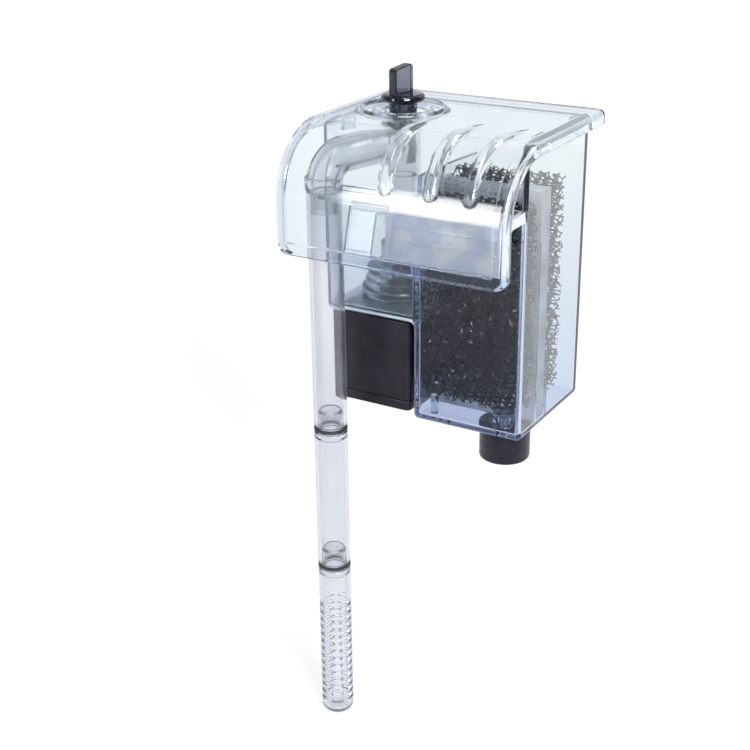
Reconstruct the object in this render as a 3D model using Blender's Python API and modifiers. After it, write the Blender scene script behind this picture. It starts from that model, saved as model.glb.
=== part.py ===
"""Hang-on-back aquarium filter: clear tank and lid, motor under the pump chamber, intake line and media.

The frame has +X to the right, +Y away from the aquarium and +Z up.  Its origin is on the underside of
the bridge, in the middle of the part that rests on the aquarium's rim.  Dimensions are in millimetres
and MM turns them into metres when a mesh is made.
"""

import math

import bmesh
import bpy
from mathutils import Matrix, Vector

MM = 0.001
GAP = 0.3                                   # clearance between neighbouring pieces

# Tank
WIDTH = 100.0
DEPTH = 64.3
WALL = 2.2
LEFT = -WIDTH / 2
RIGHT = WIDTH / 2
FRONT = 6.5
BACK = FRONT + DEPTH
MEDIA_LEFT = RIGHT - 54.4                   # outer face of the wall between the two chambers
TANK_BASE = -102.0
PUMP_FLOOR = -55.3                          # underside of the pump chamber's floor
RIM_TOP = 31.8
WEIR_TOP = 4.0
BRIDGE = 2.4                                # thickness of the bridge and the spillway ramp
RAMP_FRONT = -8.1
RAMP_FOOT = (-13.8, -18.5)                  # y and z of the ramp's lower edge
CHEEK = 3.3                                 # how far the ramp's side walls stand off its middle line
RAMP_LEFT = -5.6
HOOK_LEFT = -26.5                           # left and right edges of the hook leg that hangs over the glass
HOOK_RIGHT = -13.5

# Pump axis, which the motor, the impeller, the riser and the knob share
PUMP_X = -27.2
PUMP_Y = 38.5
MOTOR_TOP = PUMP_FLOOR - 1.3
MOTOR_SEAM = -95.2
MOTOR_BASE = -100.4
MOTOR_LEFT, MOTOR_RIGHT = -47.2, -7.4
MOTOR_FRONT, MOTOR_BACK = 8.6, 68.2
WELL_BORE = 8.6                             # radius of the rotor well

# Intake line
TUBE_X = -37.4
TUBE_Y = -12.5
TUBE_RADIUS = 7.8
TUBE_BORE = 6.2
TUBE_TOP = 7.2
UPPER_JOINT = -106.3
LOWER_JOINT = -179.1
STRAINER_BASE = -263.7
STRAINER_SIDES = 20
SPIGOT = 12.0                               # how far one tube plugs into the next
ELBOW_RADIUS = 8.4
ELBOW_BEND = 12.0

# Lid
LID_OVERHANG = 5.5
LID_TOP = 34.5
LID_FRONT = -25.5
LID_FOOT = -20.7
LID_BACK = 77.9
LID_BEND = 32.0
LID_SHEET = 2.4
LID_SKIRT = 6.2
KNOB_HOLE = 10.6
KNOB_TURN = 76.0                            # angle from +X of the knob's blade when the valve is open
RIB_FOOT = 12.0                             # height at which the lid's ribs begin
RIB_END = 32.0                              # how far back they run

# Levelling cam
PIN_X = 37.5
PIN_Y = 17.6
CAM_X = 34.8
CAM_Y = 23.6
CAM_RADIUS = 11.7
CAM_TOP = TANK_BASE - GAP
CAM_BASE = -118.8

# Media
FRONT_FOAM_TOP = 4.5
CARTRIDGE_TOP = 8.5
BACK_FOAM_TOP = 11.0
PAD_RIGHT = 30.0
RAIL_FRONT = 24.4
RAIL_BACK = 34.6

CLEAR = ((0.82, 0.88, 0.93), 0.05, 0.0)
BLACK = ((0.02, 0.017, 0.022), 0.35, 0.0)
RUBBER = ((0.012, 0.012, 0.014), 0.7, 0.0)
FOAM = ((0.03, 0.026, 0.034), 0.9, 0.0)
SMOKE = ((0.05, 0.05, 0.07), 0.15, 0.0)
STEEL = ((0.55, 0.56, 0.58), 0.35, 1.0)
COPPER = ((0.72, 0.33, 0.16), 0.3, 1.0)
FERRITE = ((0.06, 0.06, 0.065), 0.5, 0.0)
CERAMIC = ((0.88, 0.87, 0.83), 0.25, 0.0)
CARBON = ((0.25, 0.27, 0.29), 0.9, 0.0)
NYLON = ((0.80, 0.80, 0.78), 0.5, 0.0)


def collection(name):
    made = bpy.data.collections.new(name)
    bpy.context.scene.collection.children.link(made)
    return made


def clear_scene():
    for item in list(bpy.data.objects):
        bpy.data.objects.remove(item, do_unlink=True)


def paint(item, look):
    """Gives an object its own Principled material."""
    colour, roughness, metallic = look
    made = bpy.data.materials.new(item.name)
    made.use_nodes = True
    shader = made.node_tree.nodes["Principled BSDF"]
    shader.inputs["Base Color"].default_value = (*colour, 1.0)
    shader.inputs["Roughness"].default_value = roughness
    shader.inputs["Metallic"].default_value = metallic
    item.data.materials.clear()
    item.data.materials.append(made)


def place(name, mesh, look=None):
    """Links a mesh as a part when it has a look, and as a hidden tool for a Boolean when it has none."""
    item = bpy.data.objects.new(name, mesh)
    if look is None:
        TOOLS.objects.link(item)
        item.hide_render = True
        item.display_type = "WIRE"
    else:
        PARTS.objects.link(item)
        paint(item, look)
    return item


def smooth(item, degrees=35):
    item.data.shade_smooth()
    item.data.set_sharp_from_angle(angle=math.radians(degrees))
    return item


def combine(target, tool, operation):
    step = target.modifiers.new(f"{operation.lower()} {tool.name}", "BOOLEAN")
    step.operation = operation
    step.solver = "EXACT"
    step.object = tool


def cut(target, *tools):
    for tool in tools:
        combine(target, tool, "DIFFERENCE")


def join(target, *tools):
    for tool in tools:
        combine(target, tool, "UNION")


def bevel_edges(bm, edges, width, segments):
    bmesh.ops.bevel(bm, geom=edges, offset=width * MM, segments=segments, affect="EDGES",
                    profile=0.5, clamp_overlap=True)


def box(name, low, high, look=None, rounding=0.0, axes="xyz", segments=3):
    """A box between two corners, with its edges along the named axes rounded."""
    bm = bmesh.new()
    bmesh.ops.create_cube(bm, size=1.0)
    size = [(b - a) * MM for a, b in zip(low, high)]
    middle = [(a + b) / 2 * MM for a, b in zip(low, high)]
    bm.transform(Matrix.Translation(middle) @ Matrix.Diagonal((*size, 1.0)))
    if rounding:
        chosen = []
        for edge in bm.edges:
            along = edge.verts[1].co - edge.verts[0].co
            axis = "xyz"[max(range(3), key=lambda i: abs(along[i]))]
            if axis in axes:
                chosen.append(edge)
        bevel_edges(bm, chosen, rounding, segments)
    mesh = bpy.data.meshes.new(name)
    bm.to_mesh(mesh)
    bm.free()
    item = place(name, mesh, look)
    return smooth(item)


def boxes(name, spans):
    """Several boxes that don't touch, as one cutter."""
    bm = bmesh.new()
    for low, high in spans:
        size = [(b - a) * MM for a, b in zip(low, high)]
        middle = [(a + b) / 2 * MM for a, b in zip(low, high)]
        bmesh.ops.create_cube(bm, size=1.0, matrix=Matrix.Translation(middle) @ Matrix.Diagonal((*size, 1.0)))
    mesh = bpy.data.meshes.new(name)
    bm.to_mesh(mesh)
    bm.free()
    return place(name, mesh)


def turned(name, profile, x, y, look=None, steps=36, closed=False):
    """Turns a profile of (radius, z) points about the vertical line through x, y.

    The outer side runs from top to bottom, and a ring's profile is closed.
    """
    mesh = bpy.data.meshes.new(name)
    points = [(radius * MM, 0.0, z * MM) for radius, z in profile]
    links = [(i, i + 1) for i in range(len(points) - 1)]
    if closed:
        links.append((len(points) - 1, 0))
    mesh.from_pydata(points, links, [])
    item = place(name, mesh, look)
    item.location = (x * MM, y * MM, 0.0)
    screw = item.modifiers.new("turn", "SCREW")
    screw.axis = "Z"
    screw.steps = steps
    screw.render_steps = steps
    screw.use_merge_vertices = True
    screw.merge_threshold = 0.00001
    screw.use_smooth_shade = True
    return item


def cylinder(name, x, y, bottom, top, radius, look=None, steps=36):
    profile = [(0.0, top), (radius, top), (radius, bottom), (0.0, bottom)]
    return turned(name, profile, x, y, look, steps)


def ring(name, x, y, bottom, top, inner, outer, look=None, steps=36, chamfer=0.0):
    profile = [(outer, top - chamfer), (outer, bottom + chamfer), (outer - chamfer, bottom),
               (inner + chamfer, bottom), (inner, bottom + chamfer), (inner, top - chamfer),
               (inner + chamfer, top), (outer - chamfer, top)]
    if not chamfer:
        profile = [(outer, top), (outer, bottom), (inner, bottom), (inner, top)]
    return turned(name, profile, x, y, look, steps, closed=True)


def o_ring(name, x, y, z, radius, thickness, look, steps=28):
    """A ring of round section whose middle line has the given radius."""
    profile = []
    for i in range(6):
        angle = -2 * math.pi * i / 6
        profile.append((radius + thickness * math.cos(angle), z + thickness * math.sin(angle)))
    return turned(name, profile, x, y, look, steps, closed=True)


def solid_from_curve(curve, name, look=None, matrix=None):
    """Turns a filled curve into a welded mesh object."""
    draft = bpy.data.objects.new(name + " draft", curve)
    bpy.context.scene.collection.objects.link(draft)
    if matrix:
        draft.matrix_world = matrix
    bpy.context.view_layer.update()
    evaluated = draft.evaluated_get(bpy.context.evaluated_depsgraph_get())
    mesh = bpy.data.meshes.new_from_object(evaluated)
    mesh.transform(draft.matrix_world)
    bm = bmesh.new()
    bm.from_mesh(mesh)
    bmesh.ops.remove_doubles(bm, verts=bm.verts, dist=0.000002)
    bmesh.ops.dissolve_limit(bm, angle_limit=math.radians(0.5), verts=bm.verts, edges=bm.edges)
    bmesh.ops.recalc_face_normals(bm, faces=bm.faces)
    bm.to_mesh(mesh)
    bm.free()
    bpy.data.objects.remove(draft, do_unlink=True)
    mesh.name = name
    return place(name, mesh, look)


def prism(name, outline, plane, low, high, look=None):
    """A flat outline in the xy, xz or yz plane, extruded along the third axis from low to high."""
    curve = bpy.data.curves.new(name, "CURVE")
    curve.dimensions = "2D"
    curve.fill_mode = "BOTH"
    curve.extrude = (high - low) / 2 * MM
    spline = curve.splines.new("POLY")
    spline.points.add(len(outline) - 1)
    for point, (a, b) in zip(spline.points, outline):
        point.co = (a * MM, b * MM, 0.0, 1.0)
    spline.use_cyclic_u = True
    middle = (low + high) / 2 * MM
    columns = {
        "xy": ((1, 0, 0), (0, 1, 0), (0, 0, 1), (0, 0, middle)),
        "xz": ((1, 0, 0), (0, 0, 1), (0, -1, 0), (0, middle, 0)),
        "yz": ((0, 1, 0), (0, 0, 1), (1, 0, 0), (middle, 0, 0)),
    }[plane]
    turn = Matrix(columns[:3]).transposed().to_4x4()
    return solid_from_curve(curve, name, look, Matrix.Translation(columns[3]) @ turn)


def pipe(name, points, radius, look=None, sides=3):
    """A round bar along a list of 3D points; a point may carry its own radius factor."""
    curve = bpy.data.curves.new(name, "CURVE")
    curve.dimensions = "3D"
    curve.bevel_depth = radius * MM
    curve.bevel_resolution = sides
    curve.use_fill_caps = True
    spline = curve.splines.new("POLY")
    spline.points.add(len(points) - 1)
    for point, place_at in zip(spline.points, points):
        point.co = (*(value * MM for value in place_at[:3]), 1.0)
        point.radius = place_at[3] if len(place_at) > 3 else 1.0
    return solid_from_curve(curve, name, look)


def rounded_path(corners, radius, steps=10):
    """A line through the corners with each inner corner replaced by an arc."""
    path = [Vector(corners[0])]
    for before, corner, after in zip(corners, corners[1:], corners[2:]):
        corner = Vector(corner)
        back = (Vector(before) - corner).normalized()
        ahead = (Vector(after) - corner).normalized()
        half = back.angle(ahead) / 2
        reach = radius / math.tan(half)
        centre = corner + (back + ahead).normalized() * radius / math.sin(half)
        start = corner + back * reach - centre
        finish = corner + ahead * reach - centre
        turn = start.angle(finish)
        for i in range(steps + 1):
            t = i / steps
            arm = (start * math.sin((1 - t) * turn) + finish * math.sin(t * turn)) / math.sin(turn)
            path.append(centre + arm)
    path.append(Vector(corners[-1]))
    return path


def beside(path, distance):
    """The path moved to its right-hand side by a distance."""
    moved = []
    for i, point in enumerate(path):
        before = path[max(i - 1, 0)]
        after = path[min(i + 1, len(path) - 1)]
        first = (point - before).normalized() if i else (after - point).normalized()
        second = (after - point).normalized() if i < len(path) - 1 else first
        normal = Vector((first.y + second.y, -first.x - second.x))
        normal /= normal.length * math.cos(first.angle(second) / 2)
        moved.append(point + normal * distance)
    return moved


def band(path, near, far):
    """The closed outline between the path moved by two distances."""
    return [tuple(p) for p in beside(path, near)] + [tuple(p) for p in reversed(beside(path, far))]


def soften(item, width, segments, keep):
    """Rounds the sharp outward edges that keep() accepts."""
    bm = bmesh.new()
    bm.from_mesh(item.data)
    chosen = []
    for edge in bm.edges:
        if len(edge.link_faces) != 2 or not edge.is_convex:
            continue
        sharp = edge.calc_face_angle(0.0) > math.radians(50)
        if sharp and keep(edge.verts[0].co / MM, edge.verts[1].co / MM):
            chosen.append(edge)
    bevel_edges(bm, chosen, width, segments)
    bm.to_mesh(item.data)
    bm.free()


def tank_outline():
    return [(LEFT, RIM_TOP), (LEFT, PUMP_FLOOR), (MEDIA_LEFT, PUMP_FLOOR), (MEDIA_LEFT, TANK_BASE),
            (RIGHT, TANK_BASE), (RIGHT, RIM_TOP)]


def spillway_path(inset=0.0):
    """Middle line of the bridge and the ramp, from the tank towards the aquarium."""
    middle = BRIDGE / 2
    foot = Vector(RAMP_FOOT).lerp(Vector((RAMP_FRONT, middle)), inset / 20)
    return rounded_path([(FRONT + 1.5 - inset, middle), (RAMP_FRONT, middle), foot], 3.0, 4)


def make_tank():
    """Open tub of two chambers, with the bridge over the aquarium's rim and the spillway ramp."""
    tank = prism("tank_body", tank_outline(), "xz", FRONT, BACK, CLEAR)
    soften(tank, 2.6, 3, lambda a, b: not (a.z > RIM_TOP - 1 and b.z > RIM_TOP - 1))
    floor = TANK_BASE + WALL
    pump_floor = PUMP_FLOOR + WALL
    above = RIM_TOP + 10
    cut(tank,
        box("media_chamber", (MEDIA_LEFT + WALL, FRONT + WALL, floor), (RIGHT - WALL, BACK - WALL, above),
            rounding=1.5),
        box("pump_chamber", (LEFT + WALL, FRONT + WALL, pump_floor), (MEDIA_LEFT, BACK - WALL, above),
            rounding=1.5),
        box("weir_opening", (LEFT + WALL, FRONT - 3, WEIR_TOP), (RIGHT - WALL, FRONT + WALL + 3, above)),
        box("partition_top", (MEDIA_LEFT - 2, FRONT - 2, WEIR_TOP + 8),
            (MEDIA_LEFT + WALL + 2, BACK - WALL, above)))
    path = spillway_path()
    bridge = prism("bridge", band(path, -BRIDGE / 2, BRIDGE / 2), "yz", LEFT + 0.2, RIGHT - 0.2)
    cheek = band(spillway_path(0.4), 0.0, CHEEK)
    join(bridge,
         prism("right_cheek", cheek, "yz", RIGHT - WALL - 0.4, RIGHT - 0.5),
         prism("left_cheek", cheek, "yz", RAMP_LEFT, RAMP_LEFT + WALL))
    cut(bridge,
        box("tube_notch", (LEFT - 5, -30, -30), (HOOK_LEFT, TUBE_Y + TUBE_RADIUS + 0.9, 10)),
        box("hook_gap", (HOOK_RIGHT, -30, -30), (RAMP_LEFT - 0.7, -6.9, -1.0)))
    join(tank, bridge)
    rails = []
    for y in (RAIL_FRONT - 1.2, RAIL_BACK):
        for x in (MEDIA_LEFT + WALL - 0.5, RIGHT - WALL - 1.5):
            rails.append(((x, y, floor - 0.5), (x + 2.0, y + 1.2, -14.0)))
    join(tank, boxes("media_rails", rails))
    pegs = [(MEDIA_LEFT + 8, 14.0), (MEDIA_LEFT + 8, 45.0), (RIGHT - 8, 45.0)]
    for i, (x, y) in enumerate(pegs):
        join(tank, cylinder(f"foam_peg_{i + 1}", x, y, floor - 0.6, -91.0, 1.8, steps=16))
    join(tank, cylinder("cam_boss", PIN_X, PIN_Y, floor - 0.6, -93.2, 5.0, steps=32))
    cut(tank,
        cylinder("cam_pin_hole", PIN_X, PIN_Y, TANK_BASE - 2, -95.4, 2.3, steps=24),
        cylinder("motor_hole", PUMP_X, PUMP_Y, PUMP_FLOOR - 2, pump_floor + 2, 11.6),
        box("transfer_slot", (MEDIA_LEFT - 2, 52.0, -48.0), (MEDIA_LEFT + WALL + 2, 64.0, -30.0),
            rounding=2.0, axes="x"))


def lid_path(front_foot, back_end):
    return rounded_path([(LID_FRONT, front_foot), (LID_FRONT, LID_TOP), (back_end, LID_TOP)], LID_BEND, 12)


def lid_rib(name, x_top, x_foot):
    """A teardrop ridge that runs down the lid's bend and narrows towards the aquarium."""
    path = [point for point in beside(lid_path(LID_FOOT, RIB_END), 1.4) if point.y > RIB_FOOT]
    path = path[:-1] + [path[-2].lerp(path[-1], t) for t in (0.35, 0.7, 0.9, 1.0)]
    points = []
    for i, point in enumerate(path):
        t = i / (len(path) - 1)
        width = 0.2 + 0.8 * math.sin(math.pi * (0.03 + 0.94 * t) ** 1.5)
        points.append((x_foot + (x_top - x_foot) * t, point.x, point.y, width))
    return pipe(name, points, 3.2, sides=3)


def make_lid():
    """Clear cover with a raised border, side skirts and a hole for the flow knob."""
    left, right = LEFT - LID_OVERHANG, RIGHT + LID_OVERHANG
    inside = LID_SHEET
    lid = prism("lid", band(lid_path(LID_FOOT, LID_BACK), 0.0, LID_SKIRT), "yz", left, right, CLEAR)
    soften(lid, 1.2, 2, lambda a, b: True)
    border = band(lid_path(LID_FOOT + 5.6, LID_BACK - 5.5), -2.0, 0.5)
    cut(lid, prism("lid_border", border, "yz", left + 5.5, right - 5.5))
    join(lid,
         lid_rib("lid_rib_1", -7.3, -1.0),
         lid_rib("lid_rib_2", 15.7, 20.0),
         lid_rib("lid_rib_3", 37.2, 38.0),
         ring("knob_dish", PUMP_X, PUMP_Y, LID_TOP - 1.6, LID_TOP + 1.3, 17.6, 20.4, chamfer=0.6))
    hollow = band(lid_path(LID_FOOT - 10, LID_BACK - inside), inside, LID_SKIRT + 3)
    cut(lid, prism("lid_hollow", hollow, "yz", left + inside, right - inside))
    tabs = []
    for x in (LEFT + WALL + 0.5, RIGHT - WALL - 2.1):
        for y in (18.0, 56.0):
            tabs.append(((x, y, 26.5), (x + 1.6, y + 10.0, LID_TOP - inside + 0.6)))
    join(lid, boxes("lid_tabs", tabs))
    cut(lid, cylinder("knob_hole", PUMP_X, PUMP_Y, LID_TOP - 6, LID_TOP + 6, KNOB_HOLE))


def make_motor():
    """Motor housing with its rotor well, base cap, stator, coil and rotor."""
    housing = box("motor_housing", (MOTOR_LEFT, MOTOR_FRONT, MOTOR_SEAM), (MOTOR_RIGHT, MOTOR_BACK, MOTOR_TOP),
                  BLACK, rounding=2.6, axes="z")
    cut(housing,
        box("stator_room", (MOTOR_LEFT + 2.4, MOTOR_FRONT + 2.4, MOTOR_SEAM - 5),
            (MOTOR_RIGHT - 2.4, MOTOR_BACK - 2.4, MOTOR_TOP - 2.6), rounding=1.5, axes="z"),
        cable_bore("gland_hole", 3.6, MOTOR_BACK - 6, MOTOR_BACK + 3))
    join(housing,
         cylinder("rotor_well_wall", PUMP_X, PUMP_Y, -94.0, MOTOR_TOP - 1.0, 10.2),
         cylinder("motor_spigot", PUMP_X, PUMP_Y, MOTOR_TOP - 1.0, -51.2, 11.2))
    cut(housing, cylinder("rotor_well", PUMP_X, PUMP_Y, -92.0, -40.0, WELL_BORE))
    box("motor_base_cap", (MOTOR_LEFT, MOTOR_FRONT, MOTOR_BASE), (MOTOR_RIGHT, MOTOR_BACK, MOTOR_SEAM - GAP),
        BLACK, rounding=2.6, axes="z")
    ring("motor_gasket", PUMP_X, PUMP_Y, MOTOR_TOP + GAP, PUMP_FLOOR - GAP, 11.6, 16.5, RUBBER, 40)
    legs = [(-44.0, 62.6), (-44.0, 27.0), (-37.8, 27.0), (-37.8, 54.6), (-16.6, 54.6), (-16.6, 27.0),
            (-10.4, 27.0), (-10.4, 62.6)]
    prism("stator_core", legs, "xy", -84.0, -70.0, STEEL)
    bobbin = box("coil_bobbin", (-37.2, 50.4, -88.6), (-17.2, 65.3, -65.4), NYLON)
    core_gap = box("core_passage", (-40, 54.3, -84.3), (-14, 62.9, -69.7))
    cut(bobbin, winding_room(), core_gap)
    coil = box("coil_winding", (-35.6, 50.9, -88.1), (-18.8, 64.8, -65.9), COPPER, rounding=1.2, axes="x")
    cut(coil, box("winding_bore", (-40, 53.0, -85.6), (-14, 64.2, -68.4)))
    gland = cable_bore("cord_gland", 5.4, MOTOR_BACK + GAP, MOTOR_BACK + 3.0, RUBBER)
    join(gland, cable_bore("gland_neck", 3.2, MOTOR_BACK - 2.2, MOTOR_BACK + 2))
    cut(gland, cable_bore("gland_bore", 2.1, MOTOR_BACK - 9, MOTOR_BACK + 9))


def winding_room():
    """The space round the bobbin's tube that the winding fills."""
    room = box("winding_room", (-36.0, 40, -100), (-18.4, 80, -50))
    cut(room, box("bobbin_tube", (-40, 53.3, -85.3), (-14, 63.9, -68.7)))
    return room


def cable_bore(name, radius, near, far, look=None):
    """A round bar along +Y on the cord's line through the motor's back wall."""
    item = pipe(name, [(PUMP_X, near, -90.5), (PUMP_X, far, -90.5)], radius, look, sides=4)
    return smooth(item)


def make_rotor():
    """Shaft, magnet, blades and bushes on the pump axis."""
    cylinder("impeller_shaft", PUMP_X, PUMP_Y, -90.9, -39.6, 1.15, CERAMIC, 20)
    ring("lower_shaft_bush", PUMP_X, PUMP_Y, -91.6, -88.6, 1.45, 4.2, RUBBER, 24)
    ring("upper_shaft_bush", PUMP_X, PUMP_Y, -41.6, -38.4, 1.45, 2.4, RUBBER, 24)
    ring("impeller_magnet", PUMP_X, PUMP_Y, -87.6, -52.6, 1.45, 7.6, FERRITE, 32, chamfer=0.6)
    blades = ring("impeller_blades", PUMP_X, PUMP_Y, -52.2, -50.6, 1.45, 8.2, BLACK, 32)
    hub = ring("impeller_hub", PUMP_X, PUMP_Y, -51.4, -44.4, 1.45, 3.0, steps=24)
    spokes = []
    for i in range(6):
        blade = box(f"blade_{i + 1}", (2.2, -0.6, -51.4), (7.9, 0.6, -45.0))
        blade.location = (PUMP_X * MM, PUMP_Y * MM, 0.0)
        blade.rotation_euler = (0.0, 0.0, math.radians(60 * i + 12))
        spokes.append(blade)
    join(blades, hub, *spokes)


def make_volute():
    """Stepped pump casing on the chamber floor, with the cover that the riser plugs into."""
    base = PUMP_FLOOR + WALL + GAP
    steps = [(16.4, -42.0), (16.4, -44.6), (17.6, -45.2), (17.6, -48.4), (19.2, -49.0), (19.2, base),
             (12.0, base), (12.0, -50.4), (11.0, -50.4), (11.0, -42.0)]
    casing = turned("volute_casing", steps, PUMP_X, PUMP_Y, CLEAR, 40, closed=True)
    cut(casing, box("discharge_slot", (PUMP_X + 4.0, PUMP_Y + 6, -49.6), (PUMP_X + 9.0, PUMP_Y + 25, -43.4)))
    top = -42.0 + GAP
    cover = [(9.9, -28.0), (9.9, -36.5), (11.0, -39.0), (16.4, -39.6), (16.4, top), (6.6, top), (6.6, -40.0),
             (7.2, -36.6), (8.2, -36.6), (8.2, -28.0)]
    eye = turned("volute_cover", cover, PUMP_X, PUMP_Y, CLEAR, 36, closed=True)
    spider = [ring("bush_holder", PUMP_X, PUMP_Y, -41.2, -38.8, 2.7, 3.8, steps=24)]
    for i in range(3):
        arm = box(f"bush_arm_{i + 1}", (3.3, -0.6, -41.0), (7.3, 0.6, -39.2))
        arm.location = (PUMP_X * MM, PUMP_Y * MM, 0.0)
        arm.rotation_euler = (0.0, 0.0, math.radians(120 * i + 30))
        spider.append(arm)
    join(eye, *spider)


def intake_path():
    """Middle line of the elbow: up from the intake tube, over the weir and down to the pump."""
    start = Vector((TUBE_X, TUBE_Y))
    finish = Vector((PUMP_X, PUMP_Y))
    span = (finish - start).length
    crown = TUBE_TOP + 1.1 + ELBOW_BEND
    flat = rounded_path([(0.0, TUBE_TOP + GAP), (0.0, crown), (span, crown), (span, -36.0)], ELBOW_BEND, 7)
    across = (finish - start) / span
    return [(*(start + across * point.x), point.y) for point in flat]


def make_elbow():
    """Clear U-tube with the flow valve's barrel above the riser."""
    path = intake_path()
    outer = [(TUBE_X, TUBE_Y, TUBE_TOP + 0.6)] + path[1:-1] + [(PUMP_X, PUMP_Y, -36.3)]
    elbow = pipe("riser_elbow", outer, 7.9, CLEAR, sides=4)
    join(elbow,
         cylinder("valve_barrel", PUMP_X, PUMP_Y, 2.0, 29.4, ELBOW_RADIUS),
         ring("elbow_collar", TUBE_X, TUBE_Y, TUBE_TOP + GAP, TUBE_TOP + 6.0, 5.0, 8.3),
         cylinder("elbow_spigot", TUBE_X, TUBE_Y, TUBE_TOP - SPIGOT, TUBE_TOP + 3.0, TUBE_BORE - GAP))
    inner = [(TUBE_X, TUBE_Y, TUBE_TOP - SPIGOT - 4)] + path[1:-1] + [(PUMP_X, PUMP_Y, -45.0)]
    cut(elbow,
        pipe("elbow_bore", inner, 4.7, sides=4),
        cylinder("valve_room", PUMP_X, PUMP_Y, 4.0, 26.0, 6.6),
        cylinder("stem_hole", PUMP_X, PUMP_Y, 20.0, 40.0, 2.3, steps=24),
        cylinder("stem_seal_seat", PUMP_X, PUMP_Y, 27.4, 40.0, 4.5, steps=32))
    smooth(elbow)


def make_valve():
    """Knob, stem and the barrel gate that closes the elbow's mouth when the knob turns."""
    knob = [(0.0, 41.0), (8.2, 41.0), (9.6, 40.3), (10.0, 39.2), (9.6, 38.1), (8.4, 37.4), (6.4, 37.1),
            (6.4, 31.9), (0.0, 31.9)]
    grip = turned("flow_knob", knob, PUMP_X, PUMP_Y, SMOKE, 28)
    blade = prism("knob_blade", rounded_path([(-6.9, 40.0), (-6.9, 52.3), (4.5, 54.1), (4.5, 40.0)], 1.6, 4)[1:-1]
                  + [(4.5, 40.0), (-6.9, 40.0)], "xz", -2.5, 2.5)
    blade.location = (PUMP_X * MM, PUMP_Y * MM, 0.0)
    blade.rotation_euler = (0.0, 0.0, math.radians(KNOB_TURN))
    join(grip, blade)
    cut(grip, cylinder("stem_socket", PUMP_X, PUMP_Y, 20.0, 37.0, 2.4, steps=24))
    gate = ring("valve_gate", PUMP_X, PUMP_Y, 10.4, 25.6, 5.0, 6.2, NYLON, 28)
    quadrant = box("gate_quadrant", (0.0, 0.0, 0.0), (20.0, 20.0, 30.0))
    quadrant.location = (PUMP_X * MM, PUMP_Y * MM, 0.0)
    quadrant.rotation_euler = (0.0, 0.0, math.radians(-45))
    combine(gate, quadrant, "INTERSECT")
    join(gate,
         cylinder("gate_cap", PUMP_X, PUMP_Y, 24.2, 25.6, 5.6, steps=28),
         cylinder("valve_stem", PUMP_X, PUMP_Y, 24.6, 36.6, 2.05, steps=24))
    o_ring("stem_seal", PUMP_X, PUMP_Y, 28.5, 3.4, 0.75, RUBBER, 24)


def make_intake():
    """Intake tube, extension tube and strainer, each plugged into the one above, with sealing rings."""
    spots = ((UPPER_JOINT, "upper"), (LOWER_JOINT, "lower"))
    ring("intake_tube", TUBE_X, TUBE_Y, UPPER_JOINT + 1.6, TUBE_TOP, TUBE_BORE, TUBE_RADIUS, CLEAR, 32, 0.3)
    plug = TUBE_BORE - GAP
    extension = [(plug - 0.9, UPPER_JOINT + SPIGOT), (plug, UPPER_JOINT + SPIGOT - 0.9), (plug, UPPER_JOINT - 1.6),
                 (TUBE_RADIUS - 0.3, UPPER_JOINT - 1.6), (TUBE_RADIUS, UPPER_JOINT - 1.9),
                 (TUBE_RADIUS, LOWER_JOINT + 1.9), (TUBE_RADIUS - 0.3, LOWER_JOINT + 1.6),
                 (TUBE_BORE, LOWER_JOINT + 1.6), (TUBE_BORE, UPPER_JOINT - 4.0), (4.7, UPPER_JOINT - 6.0),
                 (4.7, UPPER_JOINT + SPIGOT)]
    turned("extension_tube", extension, TUBE_X, TUBE_Y, CLEAR, 32, closed=True)
    for z, name in spots:
        o_ring(f"{name}_o_ring", TUBE_X, TUBE_Y, z, 7.05, 0.85, RUBBER)
    make_strainer(plug)


def make_strainer(plug):
    top = LOWER_JOINT
    base = STRAINER_BASE
    outer = [(plug - 0.9, top + SPIGOT), (plug, top + SPIGOT - 0.9), (plug, top - 1.6), (TUBE_RADIUS - 0.3, top - 1.6),
             (TUBE_RADIUS, top - 1.9), (TUBE_RADIUS, base + 4.0), (TUBE_RADIUS - 1.2, base + 1.2),
             (TUBE_RADIUS - 4.0, base), (0.0, base)]
    inner = [(0.0, base + 2.0), (TUBE_RADIUS - 3.0, base + 2.6), (TUBE_BORE, base + 5.0), (TUBE_BORE, top - 4.0),
             (4.7, top - 6.0), (4.7, top + SPIGOT)]
    strainer = turned("strainer", outer + inner, TUBE_X, TUBE_Y, CLEAR, STRAINER_SIDES)
    strainer.data.edges.add(1)
    strainer.data.edges[-1].vertices = (len(outer + inner) - 1, 0)
    cut(strainer, strainer_slots())


def strainer_slots(rows=14, columns=5):
    """Rows of short slots round the strainer, as one cutter."""
    bm = bmesh.new()
    first = LOWER_JOINT - 21.5
    pitch = 4.2
    for row in range(rows):
        for column in range(columns):
            turn = Matrix.Rotation(2 * math.pi * column / columns + math.radians(-59), 4, "Z")
            shape = Matrix.Diagonal((4.4 * MM, 6.2 * MM, 2.0 * MM, 1.0))
            shift = Matrix.Translation((7.3 * MM, 0.0, (first - row * pitch) * MM))
            bmesh.ops.create_cube(bm, size=1.0, matrix=turn @ shift @ shape)
    mesh = bpy.data.meshes.new("strainer_slots")
    bm.to_mesh(mesh)
    bm.free()
    slots = place("strainer_slots", mesh)
    slots.location = (TUBE_X * MM, TUBE_Y * MM, 0.0)
    return slots


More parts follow.
